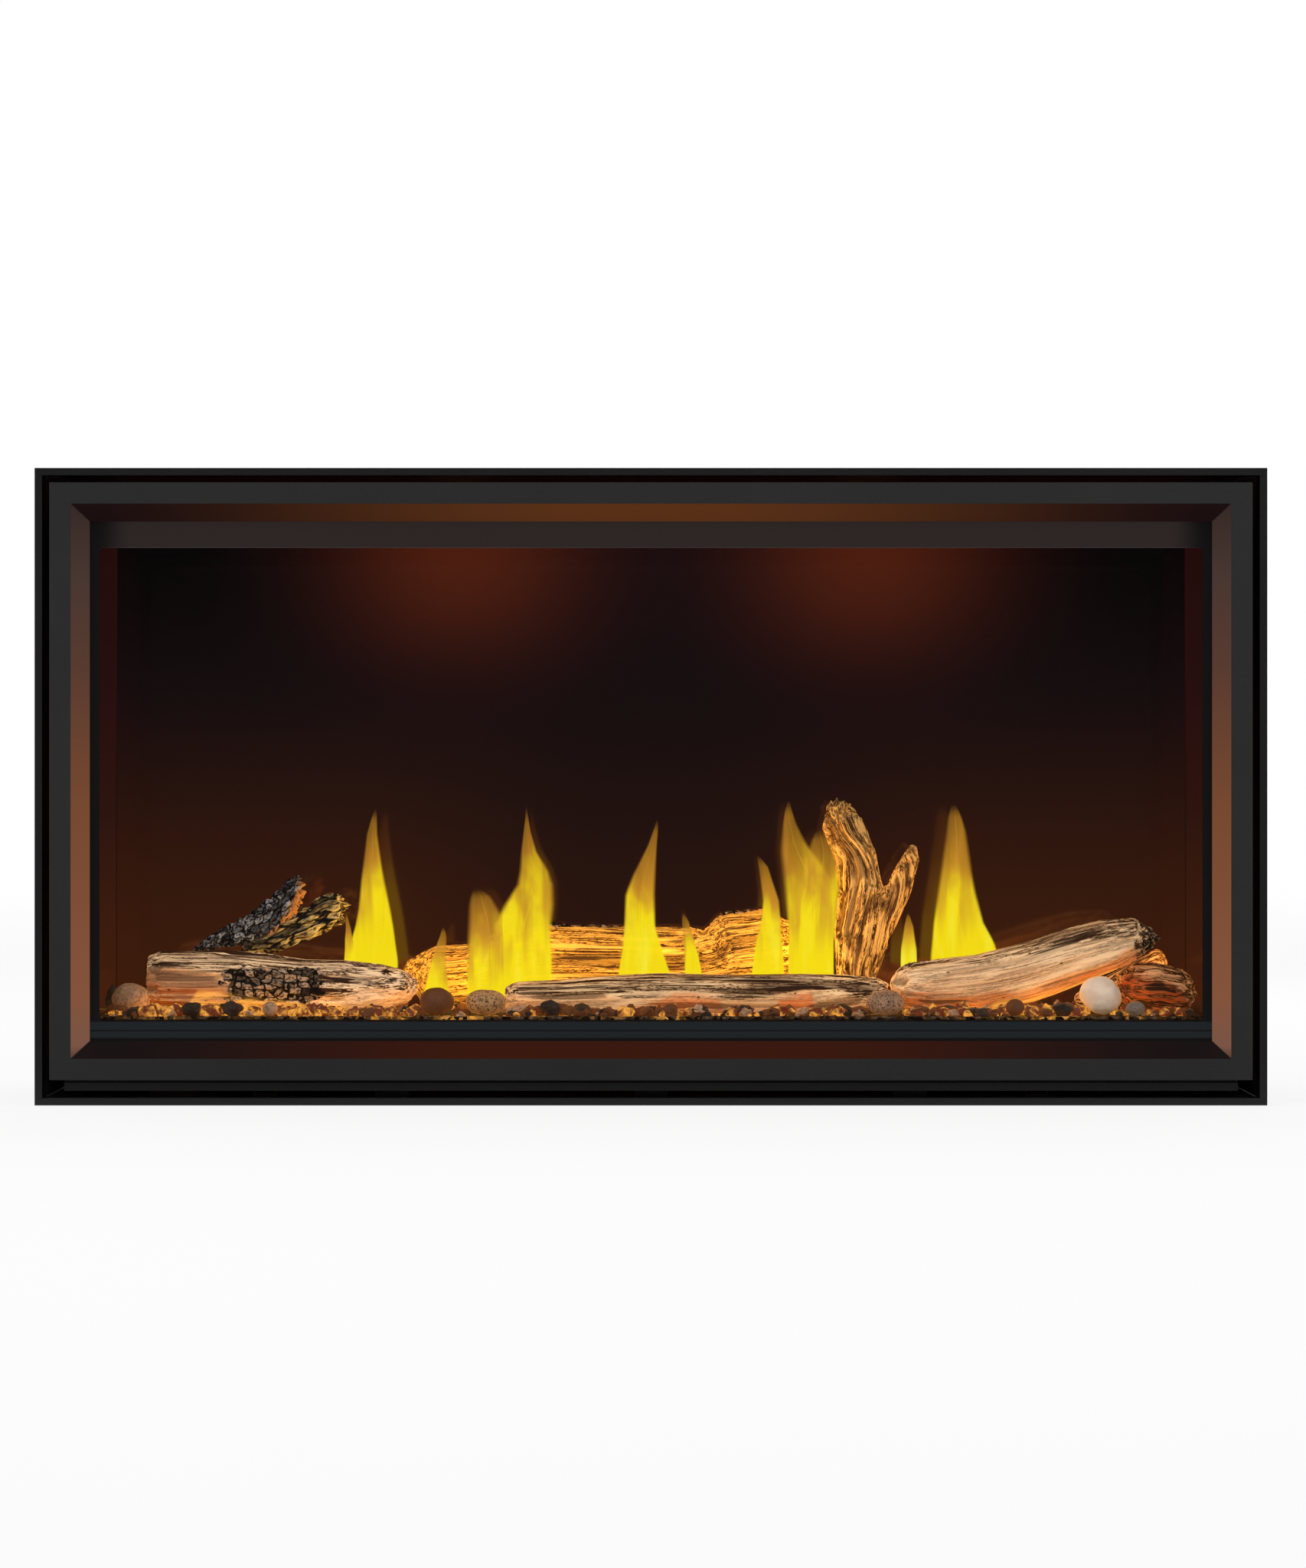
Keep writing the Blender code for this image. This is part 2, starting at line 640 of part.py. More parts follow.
def rounded_rectangle(half, low, high, radius, steps=4):
    """An outline in X and Z with round corners."""
    centres = (
        (half - radius, high - radius),
        (radius - half, high - radius),
        (radius - half, low + radius),
        (half - radius, low + radius),
    )
    outline = []
    for quarter, (cx, cz) in enumerate(centres):
        for i in range(steps + 1):
            turn = math.pi / 2 * (quarter + i / steps)
            outline.append((cx + radius * math.cos(turn), cz + radius * math.sin(turn)))
    return outline


def smooth_path(points, steps=5):
    """Points on a Catmull-Rom curve through the given ones."""
    ends = [points[0], *points, points[-1]]
    path = []
    for before, start, end, after in zip(ends, ends[1:], ends[2:], ends[3:]):
        a, b, c, d = Vector(before), Vector(start), Vector(end), Vector(after)
        for i in range(steps):
            t = i / steps
            bend = (2 * a - 5 * b + 4 * c - d) * t**2 + (3 * b - a - 3 * c + d) * t**3
            path.append(b + ((c - a) * t + bend) / 2)
    return [*path, Vector(points[-1])]


def wire(name, path, radius, material, resolution=2):
    """A round wire or tube along the points."""
    curve = bpy.data.curves.new(name, "CURVE")
    curve.dimensions = "3D"
    spline = curve.splines.new("POLY")
    spline.points.add(len(path) - 1)
    for point, at in zip(spline.points, path):
        point.co = (*at, 1.0)
    curve.bevel_depth = radius
    curve.bevel_resolution = resolution
    curve.use_fill_caps = True
    return add_object(name, curve, material)


# Casing


def casing_side(name, sign):
    """A side sheet with flanges turned in under the lid and along the back."""
    x_range = (sign * SIDE_IN_X, sign * SIDE_OUT_X)
    flange_x = (sign * (SIDE_OUT_X - CASING_FLANGE), sign * SIDE_OUT_X)
    flange_front = TRIM_LEG + OVERRUN
    side = box(name, x_range, (CASING_FRONT, SIDE_BACK), (STAND_Z, SIDE_TOP), "galvanised")
    join(
        side,
        box(f"{name}_top_flange", flange_x, (flange_front, SIDE_BACK), (SIDE_TOP - SHEET, SIDE_TOP)),
        box(f"{name}_back_flange", flange_x, (SIDE_BACK - SHEET, SIDE_BACK), (STAND_Z, SIDE_TOP)),
    )
    return side


def casing_base():
    base = box(
        "base_pan", (-SIDE_OUT_X, SIDE_OUT_X), (CASING_FRONT, SIDE_BACK), (BASE_LOW, BASE_TOP), "galvanised"
    )
    for i, x in enumerate((-SKID_SPREAD, 0, SKID_SPREAD)):
        x_range = (x - SKID_WIDTH / 2, x + SKID_WIDTH / 2)
        y_range = (SKID_INSET, SIDE_BACK - SKID_INSET)
        join(base, box(f"skid_{i}", x_range, y_range, (0, BASE_TOP - SHEET / 2)))


def casing_lid():
    lid = box(
        "casing_top", (-SIDE_OUT_X, SIDE_OUT_X), (CASING_FRONT, SIDE_BACK), (LID_LOW, LID_TOP), "galvanised"
    )
    for i, x in enumerate((-STANDOFF_SPREAD, STANDOFF_SPREAD)):
        x_range = (x - STANDOFF_WIDTH / 2, x + STANDOFF_WIDTH / 2)
        y_range = (SKID_INSET, SIDE_BACK - SKID_INSET)
        join(lid, box(f"standoff_{i}", x_range, y_range, (LID_TOP - SHEET / 2, TRIM_TOP)))


def vent_hole(name, radius, wall_y):
    """A round cutter on the vent's axis, through a wall of sheet."""
    return rod(name, "Y", (0, VENT_Z), radius, wall_y - OVERRUN, wall_y + SHEET + OVERRUN, sides=48)


def casing():
    left = casing_side("casing_left_side", -1)
    casing_side("casing_right_side", 1)
    cut(left, rod("casing_inlet_hole", "X", (GAS_Y, GAS_Z), INLET_RADIUS + GAP, -HALF, OVERRUN - SIDE_IN_X))
    casing_base()
    casing_lid()
    x_range = (-SIDE_OUT_X, SIDE_OUT_X)
    back = box("casing_back", x_range, (BACK_IN_Y, CASING_DEPTH), (BASE_LOW, LID_TOP), "galvanised")
    cut(back, vent_hole("casing_vent_hole", INTAKE_RADIUS + GAP, BACK_IN_Y))


def trim_bar(name, face, leg):
    """An angle whose face lies on the wall and whose leg goes back into the casing."""
    bar = box(name, face[0], (0, SHEET), face[1], "satin_black")
    join(bar, box(f"{name}_leg", leg[0], (SHEET / 2, TRIM_LEG), leg[1]))


def wall_trim():
    """The top and bottom bars run the full width, and the side bars butt between them."""
    width = (-HALF, HALF)
    leg_width = (-LEG_OUT_X, LEG_OUT_X)
    between = (TRIM_IN_LOW + GAP, TRIM_IN_TOP - GAP)
    trim_bar("trim_top", (width, (TRIM_IN_TOP, TRIM_TOP)), (leg_width, (TRIM_IN_TOP, LEG_OUT_TOP)))
    trim_bar("trim_bottom", (width, (FLOOR_GAP, TRIM_IN_LOW)), (leg_width, (LEG_OUT_LOW, TRIM_IN_LOW)))
    for name, sign in (("trim_left", -1), ("trim_right", 1)):
        face_x = (sign * TRIM_IN_X, sign * HALF)
        leg_x = (sign * TRIM_IN_X, sign * LEG_OUT_X)
        trim_bar(name, (face_x, between), (leg_x, between))


# Bezel and the rail it stands on


def bezel():
    face_back = BEZEL_FRONT + BEZEL_SHEET
    slope_front = BEZEL_FRONT + BEZEL_SLOPE_DEPTH
    return_back = BEZEL_FRONT + BEZEL_RETURN
    section = (
        (0, return_back),
        (0, BEZEL_FRONT),
        (BEZEL_FACE, BEZEL_FRONT),
        (BEZEL_FACE + BEZEL_RUN, slope_front),
        (BEZEL_FACE + BEZEL_RUN, slope_front + BEZEL_SHEET),
        (BEZEL_FACE, face_back),
        (BEZEL_SHEET, face_back),
        (BEZEL_SHEET, return_back),
    )
    surround = mitred_frame("bezel", BEZEL_HALF, BEZEL_LOW, BEZEL_TOP, section, "satin_black")
    tab_z = (DOOR_TOP + GAP, DOOR_TOP + GAP + BEZEL_SHEET)
    tab_y = (BEZEL_FRONT + BEZEL_SHEET / 2, DOOR_FRONT + BEZEL_TAB_LAP)
    for i, x in enumerate((-BEZEL_TAB_SPREAD, BEZEL_TAB_SPREAD)):
        x_range = (x - BEZEL_TAB_WIDTH / 2, x + BEZEL_TAB_WIDTH / 2)
        join(surround, box(f"bezel_tab_{i}", x_range, tab_y, tab_z))


def lower_rail():
    """A folded rail with a stepped flange for the bezel, on three feet."""
    step_y = RAIL_FRONT + RAIL_STEP
    leg_y = RAIL_BACK - SHEET
    section = (
        (RAIL_FRONT, RAIL_TOP - RAIL_FACE),
        (RAIL_FRONT, RAIL_TOP),
        (step_y, RAIL_TOP),
        (step_y, RAIL_SEAT),
        (RAIL_BACK, RAIL_SEAT),
        (RAIL_BACK, RAIL_SEAT - SHEET),
        (step_y + SHEET, RAIL_SEAT - SHEET),
        (step_y + SHEET, RAIL_TOP - SHEET),
        (RAIL_FRONT + SHEET, RAIL_TOP - SHEET),
        (RAIL_FRONT + SHEET, RAIL_TOP - RAIL_FACE),
    )
    half = BEZEL_HALF - RAIL_SETBACK
    rail = prism("lower_rail", section, "X", -half, half, "satin_black")
    for i, x in enumerate((-RAIL_LEG_SPREAD, 0, RAIL_LEG_SPREAD)):
        x_range = (x - RAIL_LEG_WIDTH / 2, x + RAIL_LEG_WIDTH / 2)
        leg = (
            (leg_y, STAND_Z),
            (leg_y, RAIL_SEAT - SHEET / 2),
            (RAIL_BACK, RAIL_SEAT - SHEET / 2),
            (RAIL_BACK, STAND_Z + SHEET),
            (RAIL_BACK + RAIL_FOOT, STAND_Z + SHEET),
            (RAIL_BACK + RAIL_FOOT, STAND_Z),
        )
        join(rail, prism(f"rail_leg_{i}", leg, "X", *x_range))


# Glass door


def door():
    blank_width = DOOR_HEAD + OVERRUN
    sheet_back = DOOR_FRONT + DOOR_SHEET
    section = (
        (0, DOOR_BACK),
        (0, DOOR_FRONT),
        (blank_width, DOOR_FRONT),
        (blank_width, sheet_back),
        (DOOR_SHEET, sheet_back),
        (DOOR_SHEET, DOOR_BACK),
    )
    frame = mitred_frame("door_frame", DOOR_HALF, DOOR_LOW, DOOR_TOP, section, "satin_black")
    sight = rounded_rectangle(SIGHT_HALF, SIGHT_LOW, SIGHT_TOP, SIGHT_RADIUS)
    sill_top = SIGHT_LOW - SILL_REVEAL
    sill_half = DOOR_HALF - SILL_SETBACK
    cut(frame, prism("sight_cutter", sight, "Y", DOOR_FRONT - OVERRUN, sheet_back + OVERRUN))
    join(
        frame,
        box(
            "door_sill",
            (-sill_half, sill_half),
            (DOOR_FRONT - SILL_PROUD, DOOR_FRONT + DOOR_SHEET / 2),
            (sill_top - SILL_HEIGHT, sill_top),
        ),
    )
    inside = DOOR_BACK - DOOR_SHEET
    for i, sign in enumerate((-1, 1)):
        x_range = (
            sign * LATCH_SPREAD - DOOR_TAB_WIDTH / 2,
            sign * LATCH_SPREAD + DOOR_TAB_WIDTH / 2,
        )
        latch_reach = LATCH_Y + LATCH_HANDLE_WIDTH
        join(
            frame,
            box(f"door_latch_tab_{i}", x_range, (inside, latch_reach), (DOOR_LOW, DOOR_LOW + DOOR_SHEET)),
            box(
                f"door_hanger_{i}",
                x_range,
                (inside, BOX_FRONT + DOOR_TAB_LAP),
                (DOOR_TOP - DOOR_SHEET, DOOR_TOP),
            ),
        )
    box(
        "door_glass",
        (-GLASS_HALF, GLASS_HALF),
        (GLASS_FRONT, GLASS_BACK),
        (GLASS_LOW, GLASS_TOP),
        "glass",
    )
    rope = (
        (0, GLASS_BACK + GAP),
        (GASKET_WIDTH, GLASS_BACK + GAP),
        (GASKET_WIDTH, FIREBOX_FRONT - GAP),
        (0, FIREBOX_FRONT - GAP),
    )
    mitred_frame("door_gasket", GLASS_HALF, GLASS_LOW, GLASS_TOP, rope, "gasket")


def cam_outline():
    """A hub whose radius grows to the lobe on the upper side."""
    outline = []
    steps = 28
    for i in range(steps):
        turn = 2 * math.pi * i / steps
        upright = math.sin(turn)
        radius = CAM_HUB if upright < CAM_LOBE_SHARE else CAM_LOBE
        outline.append((LATCH_Y + radius * math.cos(turn), CAM_Z + radius * upright))
    return outline


def latch(side, sign):
    """A cam that presses up under the door's tab, on a pin between two ears."""
    x = sign * LATCH_SPREAD
    cam_x = (x - CAM_THICK / 2, x + CAM_THICK / 2)
    ear_in, ear_out = LATCH_EAR_INSIDE, LATCH_EAR_INSIDE + SHEET
    pin_half = ear_out + SHEET
    cam = prism(f"latch_{side}", cam_outline(), "X", *cam_x, "steel")
    handle_y = (LATCH_Y - LATCH_HANDLE_WIDTH / 2, LATCH_Y + LATCH_HANDLE_WIDTH / 2)
    handle = box(f"latch_{side}_handle", cam_x, handle_y, (CAM_Z - LATCH_HANDLE, CAM_Z))
    pin = rod(f"latch_{side}_pin", "X", (LATCH_Y, CAM_Z), CAM_PIN, x - pin_half, x + pin_half, sides=16)
    for shape in (cam, handle, pin):
        pivot_at(shape, x, LATCH_Y, CAM_Z)
    join(cam, handle, pin)

    foot_y = (LATCH_Y - LATCH_FOOT_HALF, LATCH_Y + LATCH_FOOT_HALF)
    bracket = box(
        f"latch_bracket_{side}",
        (x - ear_out, x + ear_out),
        foot_y,
        (STAND_Z, STAND_Z + SHEET),
        "galvanised",
    )
    ear_y = (LATCH_Y - LATCH_EAR_HALF, LATCH_Y + LATCH_EAR_HALF)
    ear_z = (STAND_Z, CAM_Z + LATCH_EAR_ABOVE)
    for end, (low, high) in (("a", (-ear_out, -ear_in)), ("b", (ear_in, ear_out))):
        join(bracket, box(f"latch_{side}_ear_{end}", (x + low, x + high), ear_y, ear_z))
    cut(
        bracket,
        rod(
            f"latch_{side}_pin_hole",
            "X",
            (LATCH_Y, CAM_Z),
            CAM_PIN + GAP,
            x - pin_half - OVERRUN,
            x + pin_half + OVERRUN,
            sides=16,
        ),
    )
    latch_spring(side, x + sign * (CAM_THICK / 2 + GAP + SPRING_WIRE))


def latch_spring(side, start_x):
    """A torsion spring round the pin, with one leg down along the handle."""
    sign = 1 if start_x > 0 else -1
    steps = 10
    path = [(start_x, LATCH_Y - SPRING_RADIUS, CAM_Z - SPRING_LEG)]
    for i in range(SPRING_TURNS * steps + 1):
        turn = math.pi + 2 * math.pi * i / steps
        x = start_x + sign * SPRING_PITCH * i / steps
        path.append((x, LATCH_Y + SPRING_RADIUS * math.cos(turn), CAM_Z + SPRING_RADIUS * math.sin(turn)))
    wire(f"latch_spring_{side}", path, SPRING_WIRE, "steel", resolution=1)


# Firebox


def firebox_walls():
    left = box(
        "firebox_left_wall",
        (-WALL_OUT_X, -FIREBOX_HALF),
        (BOX_FRONT, WALL_BACK),
        (STAND_Z, ROOF_Z - GAP),
        "firebox_black",
    )
    wall_hole = (-WALL_OUT_X - OVERRUN, -FIREBOX_HALF + OVERRUN)
    cut(left, rod("firebox_inlet_hole", "X", (GAS_Y, GAS_Z), INLET_RADIUS + GAP, *wall_hole))
    box(
        "firebox_right_wall",
        (FIREBOX_HALF, WALL_OUT_X),
        (BOX_FRONT, WALL_BACK),
        (STAND_Z, ROOF_Z - GAP),
        "firebox_black",
    )
    back = box(
        "firebox_back_wall",
        (-WALL_OUT_X, WALL_OUT_X),
        (FIREBOX_BACK, FIREBOX_BACK + SHEET),
        (STAND_Z, ROOF_Z - GAP),
        "firebox_black",
    )
    cut(back, vent_hole("firebox_vent_hole", EXHAUST_RADIUS - VENT_WALL, FIREBOX_BACK))


def firebox_face():
    """The frame that the door's gasket presses on."""
    half = DOOR_HALF
    top = DOOR_TOP - DOOR_SHEET - GAP
    y_range = (FIREBOX_FRONT, FIREBOX_FRONT + SHEET)
    face = box("firebox_face", (-half, half), y_range, (FACE_LOW, top), "firebox_black")
    opening_half = FIREBOX_HALF - FACE_LIP
    opening_z = (FLOOR_TOP, ROOF_Z - FACE_LAP)
    cut_y = (FIREBOX_FRONT - OVERRUN, FIREBOX_FRONT + SHEET + OVERRUN)
    cut(face, box("face_opening", (-opening_half, opening_half), cut_y, opening_z))


def firebox_floor():
    half = FIREBOX_HALF - GAP
    floor_y = (BOX_FRONT, WALL_BACK)
    floor = box("firebox_floor", (-half, half), floor_y, (FLOOR_Z, FLOOR_TOP), "firebox_black")
    flange_z = (FLOOR_TOP - FLOOR_FLANGE, FLOOR_TOP)
    join(
        floor,
        box("floor_left_flange", (-half, SHEET - half), floor_y, flange_z),
        box("floor_right_flange", (half - SHEET, half), floor_y, flange_z),
    )
    hole_half = BURNER_HALF + BURNER_PLAY
    hole_y = BURNER_BACK_HALF + BURNER_PLAY
    cut(
        floor,
        box(
            "floor_burner_hole",
            (-hole_half, hole_half),
            (BURNER_Y - hole_y, BURNER_Y + hole_y),
            (FLOOR_Z - OVERRUN, FLOOR_TOP + OVERRUN),
        ),
    )


def firebox_roof():
    roof = box(
        "firebox_roof",
        (-WALL_OUT_X, WALL_OUT_X),
        (BOX_FRONT, FIREBOX_BACK + SHEET),
        (ROOF_Z, ROOF_TOP),
        "firebox_black",
    )
    through = (ROOF_Z - OVERRUN, ROOF_TOP + OVERRUN)
    relief_half = RELIEF_HOLE_WIDTH / 2
    relief_y = (RELIEF_Y - RELIEF_HOLE_DEPTH / 2, RELIEF_Y + RELIEF_HOLE_DEPTH / 2)
    cut(
        roof,
        rod("lamp_hole_left", "Z", (LAMP_LEFT_X, LAMP_Y), LAMP_HOLE, *through),
        rod("lamp_hole_right", "Z", (LAMP_RIGHT_X, LAMP_Y), LAMP_HOLE, *through),
        box("relief_hole", (-relief_half, relief_half), relief_y, through),
    )
    ear_y = (RELIEF_AXIS_Y - RELIEF_KNUCKLE, RELIEF_AXIS_Y + RELIEF_KNUCKLE)
    ear_z = (ROOF_TOP - SHEET / 2, RELIEF_AXIS_Z + RELIEF_EAR_ABOVE)
    for i, sign in enumerate((-1, 1)):
        ear_x = (sign * RELIEF_EAR_X, sign * (RELIEF_EAR_X + SHEET))
        join(roof, box(f"relief_ear_{i}", ear_x, ear_y, ear_z))
    pin_end = RELIEF_EAR_X + SHEET + OVERRUN
    axis_at = (RELIEF_AXIS_Y, RELIEF_AXIS_Z)
    cut(roof, rod("relief_pin_hole", "X", axis_at, RELIEF_PIN + GAP, -pin_end, pin_end, sides=16))


def relief_flap():
    plate_z = (ROOF_TOP + GAP, ROOF_TOP + GAP + SHEET)
    plate_y = (RELIEF_Y - RELIEF_HOLE_DEPTH / 2 - RELIEF_LAP, RELIEF_AXIS_Y)
    axis_at = (RELIEF_AXIS_Y, RELIEF_AXIS_Z)
    pin_end = RELIEF_EAR_X + SHEET + SHEET
    flap = box("relief_flap", (-RELIEF_HALF, RELIEF_HALF), plate_y, plate_z, "galvanised")
    knuckle = rod("relief_knuckle", "X", axis_at, RELIEF_KNUCKLE, -RELIEF_HALF, RELIEF_HALF, sides=16)
    pin = rod("relief_pin", "X", axis_at, RELIEF_PIN, -pin_end, pin_end, sides=16)
    for shape in (flap, knuckle, pin):
        pivot_at(shape, 0, RELIEF_AXIS_Y, RELIEF_AXIS_Z)
    join(flap, knuckle, pin)


def panels():
    side_y = (BOX_FRONT + PANEL_FRONT_GAP, PANEL_BACK_Y - GAP)
    z_range = (PANEL_LOW, PANEL_TOP)
    outer = PANEL_HALF + PANEL_THICK
    box("left_panel", (-outer, -PANEL_HALF), side_y, z_range, "porcelain")
    box("right_panel", (PANEL_HALF, outer), side_y, z_range, "porcelain")
    box("back_panel", (-outer, outer), (PANEL_BACK_Y, PANEL_BACK_Y + PANEL_THICK), z_range, "porcelain")


def lamp(side, x):
    """A glass disc over its hole in the roof, under a round housing that is open below."""
    lens_low = ROOF_TOP + GAP
    housing_low = lens_low + LENS_THICK + GAP
    housing_top = housing_low + LAMP_HEIGHT
    rod(f"lamp_lens_{side}", "Z", (x, LAMP_Y), LENS_RADIUS, lens_low, lens_low + LENS_THICK, "glass")
    housing = rod(f"lamp_{side}", "Z", (x, LAMP_Y), LAMP_RADIUS, housing_low, housing_top, "galvanised")
    inside = LAMP_RADIUS - LAMP_RIM
    hollow_z = (housing_low - OVERRUN, housing_top - LAMP_WALL)
    cut(housing, rod(f"lamp_{side}_hollow", "Z", (x, LAMP_Y), inside, *hollow_z))
    neck_z = (housing_top - LAMP_WALL / 2, housing_top + LAMP_NECK_HEIGHT)
    join(housing, rod(f"lamp_{side}_neck", "Z", (x, LAMP_Y), LAMP_NECK, *neck_z))


# Burner and the ember bed


def burner():
    y_range = (BURNER_Y - BURNER_BACK_HALF, BURNER_Y + BURNER_BACK_HALF)
    pan_z = (BURNER_LOW, TRAY_TOP - SHEET / 2)
    pan = box("burner_pan", (-BURNER_HALF, BURNER_HALF), y_range, pan_z, "steel")
    flange_x = BURNER_HALF + BURNER_FLANGE
    flange_half = BURNER_BACK_HALF + BURNER_FLANGE
    flange_y = (BURNER_Y - flange_half, BURNER_Y + flange_half)
    plate = box("burner_top", (-flange_x, flange_x), flange_y, (TRAY_LOW, TRAY_TOP))
    hollow = box(
        "burner_hollow",
        (SHEET - BURNER_HALF, BURNER_HALF - SHEET),
        (y_range[0] + SHEET, y_range[1] - SHEET),
        (BURNER_LOW + SHEET, TRAY_LOW),
    )
    ports = []
    for i in range(PORT_COUNT):
        x = (i - (PORT_COUNT - 1) / 2) * PORT_PITCH
        ports.append(
            (
                (x - PORT_LENGTH / 2, x + PORT_LENGTH / 2),
                (BURNER_Y - PORT_WIDTH / 2, BURNER_Y + PORT_WIDTH / 2),
                (TRAY_LOW - OVERRUN, TRAY_TOP + OVERRUN),
            )
        )
    mixer_hole = rod(
        "burner_mixer_hole",
        "X",
        (BURNER_Y, MIXER_Z),
        MIXER_RADIUS + GAP,
        -BURNER_HALF - OVERRUN,
        OVERRUN - BURNER_HALF,
    )
    join(pan, plate)
    cut(pan, hollow, boxes("burner_ports", ports, "steel"), mixer_hole)


def burner_tray():
    """A sheet round the burner that carries the ember bed."""
    x_range = (-TRAY_HALF, TRAY_HALF)
    tray = box("burner_tray", x_range, (TRAY_FRONT, TRAY_BACK), (TRAY_LOW, TRAY_TOP), "firebox_black")
    hole_x = BURNER_HALF + BURNER_FLANGE + BURNER_PLAY
    hole_y = BURNER_BACK_HALF + BURNER_FLANGE + BURNER_PLAY
    cut(
        tray,
        box(
            "tray_hole",
            (-hole_x, hole_x),
            (BURNER_Y - hole_y, BURNER_Y + hole_y),
            (TRAY_LOW - OVERRUN, TRAY_TOP + OVERRUN),
        ),
    )


def media_bed():
    """A thin bed of gravel, open over the ports and round the pilot."""
    half = TRAY_HALF - BED_INSET
    bed_y = (TRAY_FRONT + BED_INSET, TRAY_BACK - BED_INSET)
    bed = box("media_bed", (-half, half), bed_y, (BED_LOW, BED_TOP), "gravel")
    edge = bed.modifiers.new("edge", "BEVEL")
    edge.width = BED_EDGE
    edge.segments = 1
    through = (BED_LOW - OVERRUN, BED_TOP + OVERRUN)
    slot_half = PORT_COUNT * PORT_PITCH / 2
    slot_y = (BURNER_Y - BED_SLOT_WIDTH / 2, BURNER_Y + BED_SLOT_WIDTH / 2)
    pilot_x = PILOT_BASE_HALF + PILOT_PLAY
    pilot_y = PILOT_BASE_DEPTH / 2 + PILOT_PLAY
    cut(
        bed,
        box("bed_slot", (-slot_half, slot_half), slot_y, through),
        box(
            "bed_pilot_hole",
            (PILOT_X - pilot_x, PILOT_X + pilot_x),
            (PILOT_Y - pilot_y, PILOT_Y + pilot_y),
            through,
        ),
    )


def pilot():
    """A hood between the flame rod and the igniter, on one foot."""
    foot_z = (TRAY_TOP + GAP, TRAY_TOP + GAP + SHEET)
    foot = box(
        "pilot_assembly",
        (PILOT_X - PILOT_BASE_HALF, PILOT_X + PILOT_BASE_HALF),
        (PILOT_Y - PILOT_BASE_DEPTH / 2, PILOT_Y + PILOT_BASE_DEPTH / 2),
        foot_z,
        "steel",
    )
    root = foot_z[1] - SHEET / 2
    hood_top = foot_z[1] + PILOT_HOOD_HEIGHT
    join(foot, rod("pilot_hood", "Z", (PILOT_X, PILOT_Y), PILOT_HOOD, root, hood_top, sides=16))
    for i, sign in enumerate((-1, 1)):
        at = (PILOT_X + sign * PILOT_POST_SPREAD, PILOT_Y)
        join(foot, rod(f"pilot_post_{i}", "Z", at, PILOT_POST, root, foot_z[1] + PILOT_HEIGHT, sides=10))


def air_window(name, inner, outer):
    """A cutter for the primary air window, on the underside of the tube."""
    start = MIXER_IN_X + AIR_WINDOW_INSET
    return box(
        name,
        (start, start + AIR_WINDOW_LENGTH),
        (BURNER_Y - AIR_WINDOW_WIDTH / 2, BURNER_Y + AIR_WINDOW_WIDTH / 2),
        (MIXER_Z - outer - OVERRUN, MIXER_Z - inner + OVERRUN),
    )


def mixing_tube():
    axis_at = (BURNER_Y, MIXER_Z)
    bore = MIXER_RADIUS - MIXER_WALL
    neck = ORIFICE_TIP + GAP
    profile = (
        (MIXER_IN_X, neck),
        (MIXER_IN_X, MIXER_RADIUS),
        (MIXER_OUT_X, MIXER_RADIUS),
        (MIXER_OUT_X, bore),
        (MIXER_IN_X + MIXER_WALL, bore),
        (MIXER_IN_X + MIXER_WALL, neck),
    )
    tube = turned_ring("mixing_tube", "X", axis_at, profile, "steel", sides=24)
    cut(tube, air_window("mixer_window", bore, MIXER_RADIUS))

    start = MIXER_IN_X + SHUTTER_INSET
    end = start + SHUTTER_LENGTH
    sleeve = ((start, SHUTTER_BORE), (start, SHUTTER_RADIUS), (end, SHUTTER_RADIUS), (end, SHUTTER_BORE))
    shutter = turned_ring("air_shutter", "X", axis_at, sleeve, "galvanised", sides=24)
    tab = box(
        "shutter_tab",
        (start, start + SHUTTER_TAB_WIDTH),
        (BURNER_Y - SHUTTER_RADIUS - SHUTTER_TAB, BURNER_Y - SHUTTER_RADIUS + MIXER_WALL / 2),
        (MIXER_Z, MIXER_Z + MIXER_WALL),
    )
    window = air_window("shutter_window", SHUTTER_BORE, SHUTTER_RADIUS)
    for shape in (shutter, tab, window):
        pivot_at(shape, start, BURNER_Y, MIXER_Z)
    join(shutter, tab)
    cut(shutter, window)


def gas_orifice():
    """A bored brass fitting whose tip reaches into the mixing tube."""
    tip_end = MIXER_IN_X + ORIFICE_TIP_REACH
    profile = (
        (ORIFICE_START_X, ORIFICE_BORE),
        (ORIFICE_START_X, ORIFICE_BODY),
        (ORIFICE_OUT_X, ORIFICE_BODY),
        (ORIFICE_OUT_X, ORIFICE_TIP),
        (tip_end, ORIFICE_TIP),
        (tip_end, ORIFICE_BORE),
    )
    turned_ring("gas_orifice", "X", (BURNER_Y, MIXER_Z), profile, "brass", sides=12)


# Gas train


def gas_inlet():
    profile = (
        (INLET_OUT_X, INLET_BORE),
        (INLET_OUT_X, INLET_RADIUS),
        (INLET_IN_X, INLET_RADIUS),
        (INLET_IN_X, INLET_BORE),
    )
    turned_ring("gas_inlet_pipe", "X", (GAS_Y, GAS_Z), profile, "steel", sides=24)


